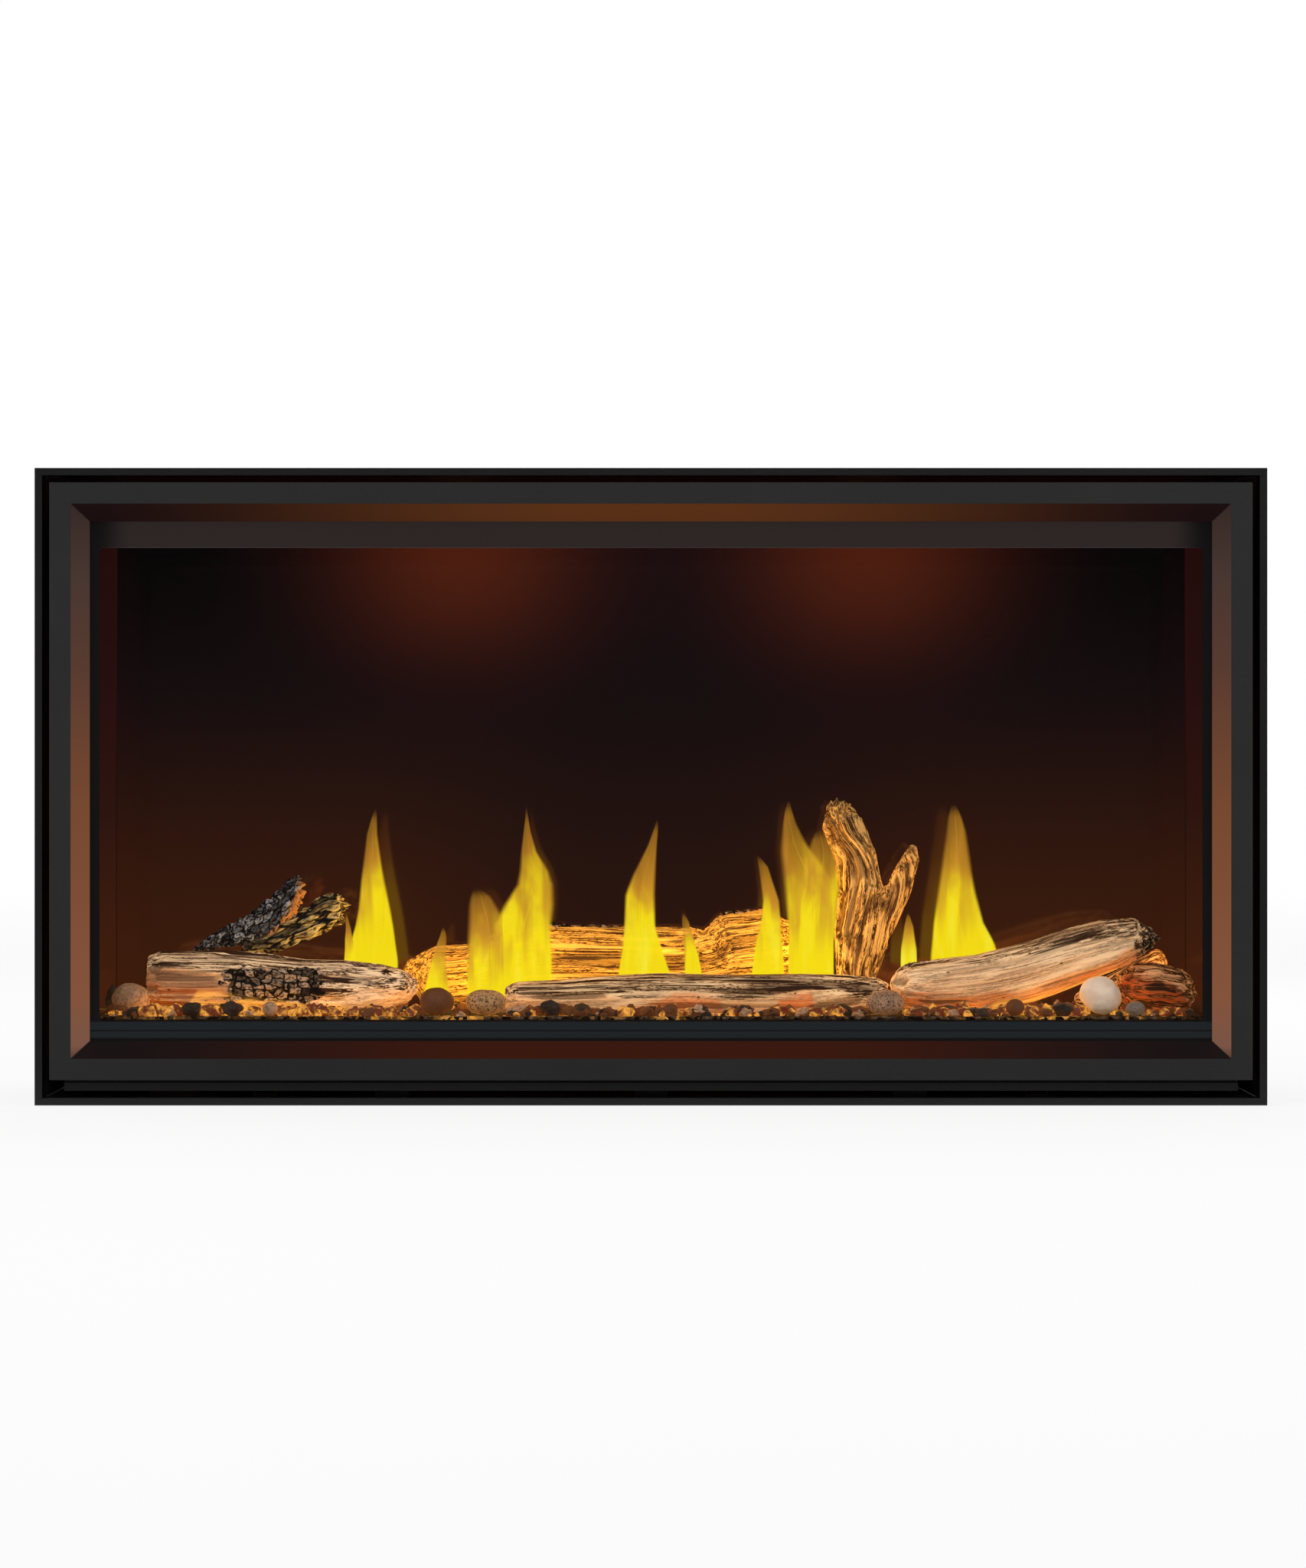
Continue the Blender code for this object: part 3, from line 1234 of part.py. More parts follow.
def shutoff():
    """A ball valve in the line, with its lever along the pipe when open."""
    start = INLET_IN_X + GAP
    body = rod("shutoff_valve", "X", (GAS_Y, GAS_Z), STOP_RADIUS, start, start + STOP_LENGTH, "brass")
    neck = rod("shutoff_neck", "Z", (STOP_X, GAS_Y), STOP_NECK, GAS_Z, STOP_TOP)
    stem_top = STOP_TOP + STOP_STEM_RISE
    stem = rod("shutoff_stem", "Z", (STOP_X, GAS_Y), STOP_STEM, STOP_TOP - OVERRUN, stem_top, sides=16)
    join(body, neck, stem)
    lever_z = (STOP_TOP + GAP, STOP_TOP + GAP + LEVER_THICK)
    lever = box(
        "shutoff_lever",
        (STOP_X - LEVER_TAIL, STOP_X + LEVER_LENGTH),
        (GAS_Y - LEVER_WIDTH / 2, GAS_Y + LEVER_WIDTH / 2),
        lever_z,
        "red_plastic",
    )
    hole_z = (lever_z[0] - OVERRUN, lever_z[1] + OVERRUN)
    hole = rod("lever_hole", "Z", (STOP_X, GAS_Y), STOP_STEM + GAP, *hole_z, sides=16)
    for shape in (lever, hole):
        pivot_at(shape, STOP_X, GAS_Y, STOP_TOP)
    cut(lever, hole)


def gas_valve():
    x_range = (VALVE_START_X, VALVE_START_X + VALVE_LENGTH)
    z_range = (GAS_Z - VALVE_HEIGHT / 2, VALVE_TOP)
    valve = box("gas_valve", x_range, (VALVE_FRONT, VALVE_BACK), z_range, "cast_aluminium")
    foot = box(
        "valve_foot",
        (VALVE_X - VALVE_FOOT_LENGTH / 2, VALVE_X + VALVE_FOOT_LENGTH / 2),
        (GAS_Y - VALVE_FOOT_DEPTH / 2, GAS_Y + VALVE_FOOT_DEPTH / 2),
        (STAND_Z, GAS_Z),
    )
    dome = rod("valve_dome", "Z", (VALVE_X, GAS_Y), VALVE_DOME, GAS_Z, VALVE_TOP + VALVE_DOME_RISE)
    stem_y = (VALVE_FRONT - KNOB_STEM_LENGTH, VALVE_FRONT + OVERRUN)
    stem = rod("valve_stem", "Y", (KNOB_X, GAS_Z), KNOB_STEM, *stem_y, sides=16)
    join(valve, foot, dome, stem)

    knob_y = (KNOB_BACK - KNOB_DEPTH, KNOB_BACK)
    knob = rod("flame_height_knob", "Y", (KNOB_X, GAS_Z), KNOB_RADIUS, *knob_y, "black_plastic")
    grip = box(
        "knob_grip",
        (KNOB_X - KNOB_GRIP / 2, KNOB_X + KNOB_GRIP / 2),
        (KNOB_BACK - KNOB_DEPTH - KNOB_GRIP_RISE, KNOB_BACK - KNOB_DEPTH / 2),
        (GAS_Z - KNOB_RADIUS + KNOB_GRIP / 2, GAS_Z + KNOB_RADIUS - KNOB_GRIP / 2),
    )
    seat_y = (VALVE_FRONT - KNOB_STEM_LENGTH - GAP, VALVE_FRONT + OVERRUN)
    seat = rod("knob_seat", "Y", (KNOB_X, GAS_Z), KNOB_STEM + GAP, *seat_y, sides=16)
    for shape in (knob, grip, seat):
        pivot_at(shape, KNOB_X, KNOB_BACK, GAS_Z)
    join(knob, grip)
    cut(knob, seat)


def gas_manifold():
    """The tube from the valve's back, up and round to the orifice."""
    bend = MANIFOLD_BEND
    outlet_x = VALVE_X - KNOB_OFFSET
    rise = MIXER_Z - GAS_Z
    end_x = ORIFICE_START_X - GAP
    route = (
        (outlet_x, VALVE_BACK + GAP, GAS_Z),
        (outlet_x, VALVE_BACK + bend / 2, GAS_Z),
        (outlet_x, VALVE_BACK + bend, GAS_Z),
        (outlet_x - bend, BURNER_Y - bend / 2, GAS_Z),
        (end_x - bend / 2, BURNER_Y, GAS_Z + rise / 4),
        (end_x - bend, BURNER_Y, GAS_Z + rise * 2 / 3),
        (end_x - bend / 2, BURNER_Y, MIXER_Z),
        (end_x - bend / 4, BURNER_Y, MIXER_Z),
        (end_x, BURNER_Y, MIXER_Z),
    )
    wire("gas_manifold", smooth_path(route), MANIFOLD_RADIUS, "steel")


def control_module():
    x_range = (MODULE_X - MODULE_WIDTH / 2, MODULE_X + MODULE_WIDTH / 2)
    y_range = (MODULE_FRONT, MODULE_FRONT + MODULE_DEPTH)
    module = box("control_module", x_range, y_range, (STAND_Z, MODULE_TOP), "black_plastic")
    edge = module.modifiers.new("edge", "BEVEL")
    edge.width = MODULE_CHAMFER
    edge.segments = 1
    slot_half = SWITCH_WIDTH / 2 + SWITCH_TRAVEL + GAP
    slot_z = (SWITCH_Z - SWITCH_HEIGHT / 2 - GAP, SWITCH_Z + SWITCH_HEIGHT / 2 + GAP)
    slot_y = (MODULE_FRONT - OVERRUN, MODULE_FRONT + SWITCH_RECESS)
    cut(module, box("switch_slot", (MODULE_X - slot_half, MODULE_X + slot_half), slot_y, slot_z))
    switch = box(
        "mode_switch",
        (MODULE_X - SWITCH_WIDTH / 2, MODULE_X + SWITCH_WIDTH / 2),
        (MODULE_FRONT - SWITCH_PROUD, MODULE_FRONT + SWITCH_RECESS - GAP),
        (SWITCH_Z - SWITCH_HEIGHT / 2, SWITCH_Z + SWITCH_HEIGHT / 2),
        "red_plastic",
    )
    pivot_at(switch, MODULE_X, MODULE_FRONT, SWITCH_Z)


# Vent


def exhaust_collar():
    """The inner collar, with its flange on the back of the firebox."""
    seat = FIREBOX_BACK + SHEET + GAP
    bore = EXHAUST_RADIUS - VENT_WALL
    flange = EXHAUST_RADIUS + VENT_FLANGE
    profile = (
        (seat, bore),
        (seat, flange),
        (seat + SHEET, flange),
        (seat + SHEET, EXHAUST_RADIUS),
        (DEPTH, EXHAUST_RADIUS),
        (DEPTH, bore),
    )
    turned_ring("exhaust_collar", "Y", (0, VENT_Z), profile, "galvanised", sides=48)


def intake_collar():
    """The outer collar, through the casing's back, with its flange outside."""
    start = BACK_IN_Y - COLLAR_INSIDE
    seat = CASING_DEPTH + GAP
    bore = INTAKE_RADIUS - VENT_WALL
    flange = INTAKE_RADIUS + VENT_FLANGE
    profile = (
        (start, bore),
        (start, INTAKE_RADIUS),
        (seat, INTAKE_RADIUS),
        (seat, flange),
        (seat + SHEET, flange),
        (seat + SHEET, INTAKE_RADIUS),
        (INTAKE_END, INTAKE_RADIUS),
        (INTAKE_END, bore),
    )
    turned_ring("intake_collar", "Y", (0, VENT_Z), profile, "galvanised", sides=48)


# Logs and the pebble


def across(ends, y, rise):
    """The place of a lying log's left end, and its length."""
    left, right = ends
    return (left * PANEL_HALF, y, rise), (right - left) * PANEL_HALF


def limb(name, start, length, radius, shares, material="pale_wood", upright=False, grow=0, seed=1):
    """A knobbly log through the centres and radii that the shares give."""
    rough = random.Random(seed)
    centres, radii = [], []
    for along, sideways, back, thick in shares:
        drift = Vector((sideways, back, along)) if upright else Vector((along, back, sideways))
        centres.append(Vector((start[0], start[1], REST_Z + start[2])) + drift * length)
        radii.append(radius * thick + grow)
    bm = bmesh.new()
    rings = []
    for i, (centre, thick) in enumerate(zip(centres, radii)):
        tangent = (centres[min(i + 1, len(centres) - 1)] - centres[max(i - 1, 0)]).normalized()
        sideward = tangent.cross(Vector((0, 1, 0))).normalized()
        depthwise = sideward.cross(tangent)
        ring = []
        for k in range(LOG_SIDES):
            turn = 2 * math.pi * k / LOG_SIDES
            reach = thick * (1 + LOG_KNOBBLE_SHARE * rough.uniform(-1, 1))
            outward = sideward * math.cos(turn) + depthwise * math.sin(turn)
            ring.append(bm.verts.new(centre + outward * reach))
        rings.append(ring)
    for ring, following in zip(rings, rings[1:]):
        for k in range(LOG_SIDES):
            m = (k + 1) % LOG_SIDES
            bm.faces.new((ring[k], ring[m], following[m], following[k]))
    bm.faces.new(rings[0])
    bm.faces.new(rings[-1])
    return place(name, bm, material, smooth=True)


def logs():
    """Each log is cut flat on the bed, and to its neighbour where it leans on one."""
    below = box("below_bed", (-HALF, HALF), (0, CASING_DEPTH), (0, REST_Z))
    left_end, left_length = across(FRONT_LEFT_ENDS_SHARE, FRONT_LEFT_Y, FRONT_LEFT_RISE)
    centre_end, centre_length = across(FRONT_CENTRE_ENDS_SHARE, FRONT_CENTRE_Y, FRONT_CENTRE_RISE)
    rear_end, rear_length = across(REAR_CENTRE_ENDS_SHARE, REAR_CENTRE_Y, REAR_CENTRE_RISE)
    lean_end, lean_length = across(LEANING_ENDS_SHARE, LEANING_Y, LEANING_RISE)
    stub_end, stub_length = across(STUB_ENDS_SHARE, STUB_Y, STUB_RISE)
    branch_end, branch_length = across(BRANCH_ENDS_SHARE, BRANCH_Y, BRANCH_RISE)
    bark_end, bark_length = across(BARK_ENDS_SHARE, BARK_Y, BARK_RISE)
    front_left = (left_end, left_length, FRONT_LEFT_RADIUS, FRONT_LEFT_SHARES)
    front_centre = (centre_end, centre_length, FRONT_CENTRE_RADIUS, FRONT_CENTRE_SHARES)
    rear_centre = (rear_end, rear_length, REAR_CENTRE_RADIUS, REAR_CENTRE_SHARES)
    lean = (lean_end, lean_length, LEANING_RADIUS, LEANING_SHARES)
    stub = (stub_end, stub_length, STUB_RADIUS, STUB_SHARES)
    branch = (branch_end, branch_length, BRANCH_RADIUS, BRANCH_SHARES)
    bark = (bark_end, bark_length, BARK_RADIUS, BARK_SHARES)
    fork = ((FORK_X, FORK_Y, -FORK_SUNK), FORK_HEIGHT, FORK_RADIUS, FORK_SHARES)
    prong_end = (FORK_X + PRONG_RIGHT_OF_FORK, FORK_Y, PRONG_RISE)
    prong = (prong_end, PRONG_HEIGHT, PRONG_RADIUS, PRONG_SHARES)
    cut(limb("log_front_left", *front_left, seed=11), below)
    cut(limb("log_front_centre", *front_centre, seed=12), below)
    cut(limb("log_rear_centre", *rear_centre, seed=13), below)
    cut(limb("log_stub", *stub, seed=14), below)
    cut(
        limb("log_leaning", *lean, seed=15),
        below,
        limb("stub_saddle", *stub, grow=GAP, seed=14),
        limb("front_centre_saddle", *front_centre, grow=GAP, seed=12),
    )
    forked = limb("log_fork", *fork, upright=True, seed=16)
    join(forked, limb("fork_prong", *prong, upright=True, seed=17))
    cut(forked, below)
    charred = limb("branch_charred", *branch, "charred_wood", seed=18)
    cut(charred, limb("branch_saddle", *front_left, grow=GAP, seed=11))
    cut(
        limb("branch_bark", *bark, "charred_wood", seed=19),
        limb("bark_log_saddle", *front_left, grow=GAP, seed=11),
        limb("bark_branch_saddle", *branch, grow=GAP, seed=18),
    )


def pebble():
    bm = bmesh.new()
    bmesh.ops.create_uvsphere(bm, u_segments=20, v_segments=12, radius=1)
    for vertex in bm.verts:
        x, y, z = vertex.co
        vertex.co = Vector(
            (
                PEBBLE_X + x * PEBBLE_RADII[0],
                PEBBLE_Y + y * PEBBLE_RADII[1],
                REST_Z + (z + 1) * PEBBLE_RADII[2],
            )
        )
    place("pebble_white", bm, "pearl_stone", smooth=True)


def build():
    clear_scene()
    casing()
    wall_trim()
    bezel()
    lower_rail()
    door()
    latch("left", -1)
    latch("right", 1)
    firebox_walls()
    firebox_face()
    firebox_floor()
    firebox_roof()
    relief_flap()
    panels()
    lamp("left", LAMP_LEFT_X)
    lamp("right", LAMP_RIGHT_X)
    burner()
    burner_tray()
    media_bed()
    pilot()
    mixing_tube()
    gas_orifice()
    gas_inlet()
    shutoff()
    gas_valve()
    gas_manifold()
    control_module()
    exhaust_collar()
    intake_collar()
    logs()
    pebble()


build()
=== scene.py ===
import json
import math
import random

import bmesh
import bpy
import numpy as np
from bpy.props import FloatProperty, FloatVectorProperty, IntProperty, PointerProperty
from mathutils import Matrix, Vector, noise
from mathutils.bvhtree import BVHTree

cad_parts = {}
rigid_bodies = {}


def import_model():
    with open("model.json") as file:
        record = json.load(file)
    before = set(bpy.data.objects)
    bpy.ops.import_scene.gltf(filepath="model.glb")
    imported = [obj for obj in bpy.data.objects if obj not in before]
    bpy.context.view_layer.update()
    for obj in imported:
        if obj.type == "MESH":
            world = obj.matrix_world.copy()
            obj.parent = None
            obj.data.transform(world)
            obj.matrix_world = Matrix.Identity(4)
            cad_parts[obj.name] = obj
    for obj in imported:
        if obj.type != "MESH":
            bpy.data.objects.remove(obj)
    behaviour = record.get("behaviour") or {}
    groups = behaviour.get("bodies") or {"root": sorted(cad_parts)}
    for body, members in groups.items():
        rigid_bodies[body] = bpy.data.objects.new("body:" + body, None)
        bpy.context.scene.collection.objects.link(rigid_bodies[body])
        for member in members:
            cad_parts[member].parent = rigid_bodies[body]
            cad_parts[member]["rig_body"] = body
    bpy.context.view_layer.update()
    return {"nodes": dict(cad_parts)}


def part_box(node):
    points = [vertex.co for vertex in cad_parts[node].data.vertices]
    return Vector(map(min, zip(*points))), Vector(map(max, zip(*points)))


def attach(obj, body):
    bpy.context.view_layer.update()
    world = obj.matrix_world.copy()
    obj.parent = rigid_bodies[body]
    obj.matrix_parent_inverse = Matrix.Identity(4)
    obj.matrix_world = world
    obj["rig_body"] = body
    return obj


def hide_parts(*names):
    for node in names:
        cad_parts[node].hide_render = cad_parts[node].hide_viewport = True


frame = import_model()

bl_info = {
    "name": "Direct vent gas fireplace",
    "version": (1, 0, 0),
    "blender": (4, 5, 0),
    "location": "3D View > Sidebar > Fireplace",
    "description": "Dresses the packed fireplace: powder coat, glossy panels, driftwood logs, embers, flames",
    "category": "Object",
}

NODES = frame["nodes"]

# How the photo sees the rim: the pixel at the middle of the rim, the scale there and the camera's distance
PHOTO_SIZE = (1706, 2048)
RIM_CENTRE_PX = (850.3, 1027.8)
RIM_CENTRE_Z = 0.3674
RIM_Y = -0.245
PX_PER_METRE = 1134.2
CAMERA_DISTANCE = 6.3
SENSOR = 36.0

# The ember bed and the burner slot
BED_TOP_Z = 0.100
BED_FRONT_Y, BED_BACK_Y = -0.1797, 0.118
BED_HALF = 0.645
REST_Z = 0.1003
FLAME_DEPTH = 0.230
SLOT_HALF = 0.480
GRAVEL_SEED = 7

# Flames, by pixels: rows of height, left edge and right edge from the bed up to the tip
FLAME_EDGES = {
    "flame_spike": ((1262, 449, 466), (1240, 450, 465), (1226, 450, 461), (1213, 451, 459), (1193, 451, 453)),
    "flame_left": (
        (1264, 452, 521), (1254, 452, 521), (1234, 456, 518), (1210, 463, 515), (1186, 467, 511),
        (1150, 470, 504), (1129, 473, 500), (1090, 478, 494), (1070, 484, 493), (1055, 490, 492),
    ),
    "flame_small_left": (
        (1312, 553, 587), (1298, 553, 587), (1278, 557, 586), (1264, 560, 584),
        (1252, 563, 584), (1232, 570, 584), (1222, 574, 584), (1210, 578, 580),
    ),
    "flame_lobe": (
        (1314, 610, 672), (1304, 609, 672), (1270, 608, 672), (1230, 608, 670),
        (1200, 609, 662), (1183, 610, 651), (1170, 613, 642), (1160, 618, 626),
    ),
    "flame_main_left": (
        (1310, 636, 722), (1300, 640, 722), (1279, 640, 722), (1250, 640, 723), (1210, 643, 722),
        (1183, 655, 726), (1156, 673, 725), (1135, 677, 718), (1114, 679, 703), (1087, 683, 694),
        (1066, 686, 690), (1052, 686, 688),
    ),
    "flame_middle": (
        (1284, 806, 878), (1272, 806, 877), (1250, 810, 869), (1237, 812, 865), (1210, 814, 857),
        (1168, 815, 857), (1141, 826, 858), (1105, 845, 859), (1085, 853, 860), (1069, 858, 860),
    ),
    "flame_small_middle": (
        (1284, 894, 918), (1271, 894, 917), (1247, 893, 913),
        (1236, 892, 910), (1205, 890, 901), (1192, 891, 893),
    ),
    "flame_prong": (
        (1282, 981, 1026), (1269, 981, 1025), (1243, 985, 1024), (1232, 986, 1023), (1200, 993, 1021),
        (1176, 995, 1019), (1150, 992, 1010), (1132, 990, 1004), (1116, 988, 990),
    ),
    "flame_right_middle": (
        (1284, 1028, 1093), (1265, 1028, 1089), (1230, 1029, 1090), (1204, 1027, 1093), (1179, 1024, 1096),
        (1153, 1021, 1094), (1128, 1018, 1078), (1112, 1017, 1064), (1102, 1018, 1056), (1077, 1021, 1042),
        (1061, 1024, 1036), (1044, 1029, 1031),
    ),
    "flame_shoulder": (
        (1270, 1034, 1090), (1230, 1036, 1090), (1204, 1036, 1094), (1179, 1036, 1098), (1153, 1040, 1102),
        (1128, 1046, 1102), (1112, 1052, 1098), (1100, 1057, 1090), (1090, 1062, 1080), (1082, 1068, 1072),
    ),
    "flame_small_right": (
        (1268, 1176, 1199), (1256, 1176, 1198), (1239, 1176, 1198), (1225, 1178, 1196), (1210, 1180, 1194),
        (1192, 1185, 1187),
    ),
    "flame_right": (
        (1262, 1214, 1308), (1250, 1214, 1306), (1231, 1216, 1300), (1205, 1218, 1286), (1165, 1223, 1276),
        (1143, 1226, 1272), (1120, 1229, 1269), (1087, 1234, 1264), (1066, 1237, 1257), (1049, 1243, 1248),
    ),
}

# Loose stones by pixels: left, right, top and bottom edge, then depth behind the rim and kind
STONES_PX = {
    "stone_brown": ((548, 593, 1290, 1331), 0.092, "stone_brown"),
    "stone_speckled_tan": ((608, 661, 1292, 1327), 0.094, "stone_speckled"),
    "stone_speckled_grey": ((1131, 1182, 1293, 1330), 0.094, "stone_speckled_rose"),
    "stone_beige": ((146, 196, 1284, 1314), 0.130, "stone_beige"),
    "stone_dark_chunk": ((706, 734, 1308, 1333), 0.082, "charcoal"),
    "stone_small_orange": ((1314, 1338, 1305, 1330), 0.085, "stone_brown"),
    "stone_dark_ring": ((1374, 1402, 1309, 1334), 0.080, "charcoal"),
    "stone_grey_rock": ((1470, 1496, 1308, 1334), 0.082, "stone_grey"),
    "stone_dark_left": ((238, 263, 1309, 1332), 0.082, "charcoal"),
    "stone_dark_mid": ((289, 316, 1308, 1333), 0.082, "charcoal"),
    "stone_whitish": ((343, 363, 1308, 1332), 0.084, "stone_beige"),
    "stone_far_left": ((140, 160, 1286, 1316), 0.135, "charcoal"),
}

# Kinds of stone: colour, speckles, their scale and amount, roughness and the share of the light over the bed
STONE_KINDS = {
    "pearl_stone": ((0.94, 0.76, 0.60), (0.74, 0.48, 0.34), 22.0, 0.45, 0.12, 0.24),
    "stone_brown": ((0.120, 0.048, 0.018), (0.07, 0.03, 0.015), 420.0, 0.5, 0.55, 1.0),
    "stone_speckled": ((0.40, 0.24, 0.11), (0.04, 0.025, 0.015), 430.0, 0.95, 0.7, 1.0),
    "stone_speckled_rose": ((0.34, 0.215, 0.140), (0.06, 0.040, 0.032), 430.0, 0.95, 0.7, 1.0),
    "stone_beige": ((0.42, 0.27, 0.17), (0.14, 0.08, 0.05), 300.0, 0.7, 0.7, 0.6),
    "stone_grey": ((0.20, 0.17, 0.15), (0.06, 0.05, 0.045), 500.0, 0.7, 0.7, 1.0),
    "charcoal": ((0.020, 0.014, 0.011), (0.060, 0.045, 0.038), 520.0, 0.6, 0.45, 1.0),
}

# Charred blocks to a metre: along a log, then across it both ways
CHAR_BLOCKS = (88, 112, 112)


def at_pixel(px, py, depth):
    """The world place that shows at a pixel of the photograph, that far behind the rim's front."""
    spread = (1 + depth / CAMERA_DISTANCE) / PX_PER_METRE
    x = (px - RIM_CENTRE_PX[0]) * spread
    z = RIM_CENTRE_Z - (py - RIM_CENTRE_PX[1]) * spread
    return Vector((x, depth + RIM_Y, z))


def pixels_of(points):
    """The pixels of the photograph at which world places show: across, then down."""
    spread = (1 + (points[:, 1] - RIM_Y) / CAMERA_DISTANCE) / PX_PER_METRE
    return RIM_CENTRE_PX[0] + points[:, 0] / spread, RIM_CENTRE_PX[1] - (points[:, 2] - RIM_CENTRE_Z) / spread


# What a user would change


def colour(name, description, *value):
    """A linear colour."""
    return FloatVectorProperty(
        name=name, description=description, subtype="COLOR", size=3, min=0, max=1, default=value
    )


def length(name, description, value, least, most):
    """A length in metres."""
    return FloatProperty(
        name=name, description=description, unit="LENGTH", min=least, max=most, default=value
    )


class FireplaceFinishes(bpy.types.PropertyGroup):
    """Colours, as linear values."""

    rim_black: colour("Rim black", "Powder coat of the wall trim and the lower rail", 0.0160, 0.0160, 0.0162)
    bezel_charcoal: colour("Bezel charcoal", "Powder coat of the removable bezel", 0.0300, 0.0300, 0.0300)
    door_black: colour("Door black", "Powder coat of the door frame", 0.0050, 0.0050, 0.0052)
    firebox_black: colour("Firebox black", "Heat-proof paint inside the firebox", 0.0060, 0.0045, 0.0042)
    porcelain_black: colour("Panel black", "Glossy reflective panels", 0.0030, 0.0024, 0.0026)
    galvanised: colour("Galvanised steel", "Casing and vent collars", 0.47, 0.48, 0.49)
    wood_pale: colour("Pale driftwood", "High parts of the driftwood logs", 0.88, 0.71, 0.52)
    wood_tan: colour("Tan driftwood", "Grain bands of the driftwood logs", 0.36, 0.215, 0.110)
    wood_dark: colour("Dark grain", "Cracks and low parts of the driftwood logs", 0.035, 0.017, 0.009)
    char_grey: colour("Char highlights", "Raised blocks of the charred wood", 0.370, 0.350, 0.345)
    fire_warmth: colour("Fire warmth", "Colour of the fire's light on the logs and stones", 1.0, 0.47, 0.07)
    bed_fill: colour("Light over the bed", "Soft light that the panels throw on the bed", 0.44, 0.30, 0.17)
    ember_glow: colour("Ember glow", "Glowing embers", 1.0, 0.42, 0.055)
    flame_bright: colour("Flame base", "Bright lower part of the flames", 1.00, 0.78, 0.008)
    flame_mustard: colour("Flame body", "Upper part of the flames", 0.62, 0.28, 0.024)
    flame_tip: colour("Flame tip", "Tips and soft edges of the flames", 0.50, 0.20, 0.020)


class FireplaceSizes(bpy.types.PropertyGroup):
    """Sizes and counts."""

    edge_rounding: length("Edge rounding", "Radius on the edges of bent sheet", 0.0004, 0, 0.002)
    log_grid: length("Log grid", "Size of the faces that a log is remade with", 0.0020, 0.0015, 0.01)
    log_relief: length("Log relief", "Depth of the grain that is carved into the logs", 0.0032, 0, 0.01)
    gravel_size: length("Gravel size", "Middling radius of the loose gravel", 0.0062, 0.001, 0.02)
    gravel_count: IntProperty(
        name="Gravel count", description="How many places on the ember bed are tried for a piece of gravel",
        default=1500, min=0, max=4000,
    )
    screw_head: length("Screw head", "Width across the flats of the casing's screws", 0.0070, 0.003, 0.012)


def finishes():
    return bpy.context.scene.fireplace_finishes


def sizes():
    return bpy.context.scene.fireplace_sizes


# Shader helpers


class Wiring:
    """Adds nodes to one tree, and feeds their inputs with values or with other nodes' outputs."""

    def __init__(self, tree):
        self.tree = tree

    def add(self, kind, inputs=None, **settings):
        made = self.tree.nodes.new("ShaderNode" + kind)
        for key, value in settings.items():
            setattr(made, key, value)
        for key, value in (inputs or {}).items():
            self.feed(made.inputs[key], value)
        return made

    def feed(self, socket, value):
        """Links an output to the socket, or sets its value. A colour of three numbers is opaque."""
        if isinstance(value, bpy.types.NodeSocket):
            self.tree.links.new(value, socket)
        elif socket.type == "RGBA":
            socket.default_value = (*value, 1.0) if len(value) == 3 else value
        else:
            socket.default_value = value

    def math(self, operation, a, b=0.0, clamp=False):
        return self.add("Math", {0: a, 1: b}, operation=operation, use_clamp=clamp).outputs[0]

    def times(self, first, *others):
        for other in others:
            first = self.math("MULTIPLY", first, other)
        return first

    def plus(self, a, b):
        return self.math("ADD", a, b)

    def less(self, a, b):
        return self.math("SUBTRACT", a, b)

    def most(self, first, *others):
        for other in others:
            first = self.math("MAXIMUM", first, other)
        return first

    def apart(self, a, b=0.0):
        """How far two values are apart."""
        return self.math("ABSOLUTE", self.less(a, b))

    def blend(self, a, b, share):
        return self.plus(self.times(a, self.less(1.0, share)), self.times(b, share))

    def tint(self, base, other, factor=1.0, mode="MULTIPLY"):
        made = self.add("Mix", data_type="RGBA", blend_type=mode)
        for socket, value in ((0, factor), (6, base), (7, other)):
            self.feed(made.inputs[socket], value)
        return made.outputs[2]

    def mixed(self, base, other, factor):
        return self.tint(base, other, factor, "MIX")

    def grey(self, level):
        return self.add("CombineColor", {0: level, 1: level, 2: level}).outputs[0]

    def between(self, value, low, high, to_low=0.0, to_high=1.0, smooth=True):
        """value from low to high, as a value from to_low to to_high."""
        kind = "SMOOTHSTEP" if smooth else "LINEAR"
        inputs = {0: value, 1: low, 2: high, 3: to_low, 4: to_high}
        return self.add("MapRange", inputs, interpolation_type=kind).outputs[0]

    def place(self, kind="Object"):
        return self.add("TexCoord").outputs[kind]

    def mark(self, name, output="Fac"):
        """A mesh's own attribute, by name."""
        return self.add("Attribute", attribute_name=name).outputs[output]

    def scaled(self, vector, scale):
        return self.add("VectorMath", {0: vector, 1: scale}, operation="MULTIPLY").outputs[0]

    def noise(self, vector, scale, detail=3.0, roughness=0.55, distortion=0.0):
        """Noise at one scale, or stretched by a scale for each axis."""
        if isinstance(scale, tuple):
            vector, scale = self.scaled(vector, scale), 1.0
        settings = {"Scale": scale, "Detail": detail, "Roughness": roughness, "Distortion": distortion}
        return self.add("TexNoise", {"Vector": vector, **settings}).outputs["Fac"]

    def cells(self, vector, scale, **settings):
        return self.add("TexVoronoi", {"Vector": vector, "Scale": scale}, **settings).outputs

    def ramp(self, value, *stops):
        """A colour ramp through the stops, each a place and a colour, the first at 0 and the last at 1."""
        made = self.add("ValToRGB", {0: value})
        ends = made.color_ramp.elements
        ends[0].color, ends[1].color = (*stops[0][1], 1), (*stops[-1][1], 1)
        for at, stop_colour in stops[1:-1]:
            ends.new(at).color = (*stop_colour, 1)
        return made.outputs[0]

    def split(self, vector):
        return self.add("SeparateXYZ", {0: vector}).outputs


# Effects, most of them shared by several materials: each gives the outputs of a node group


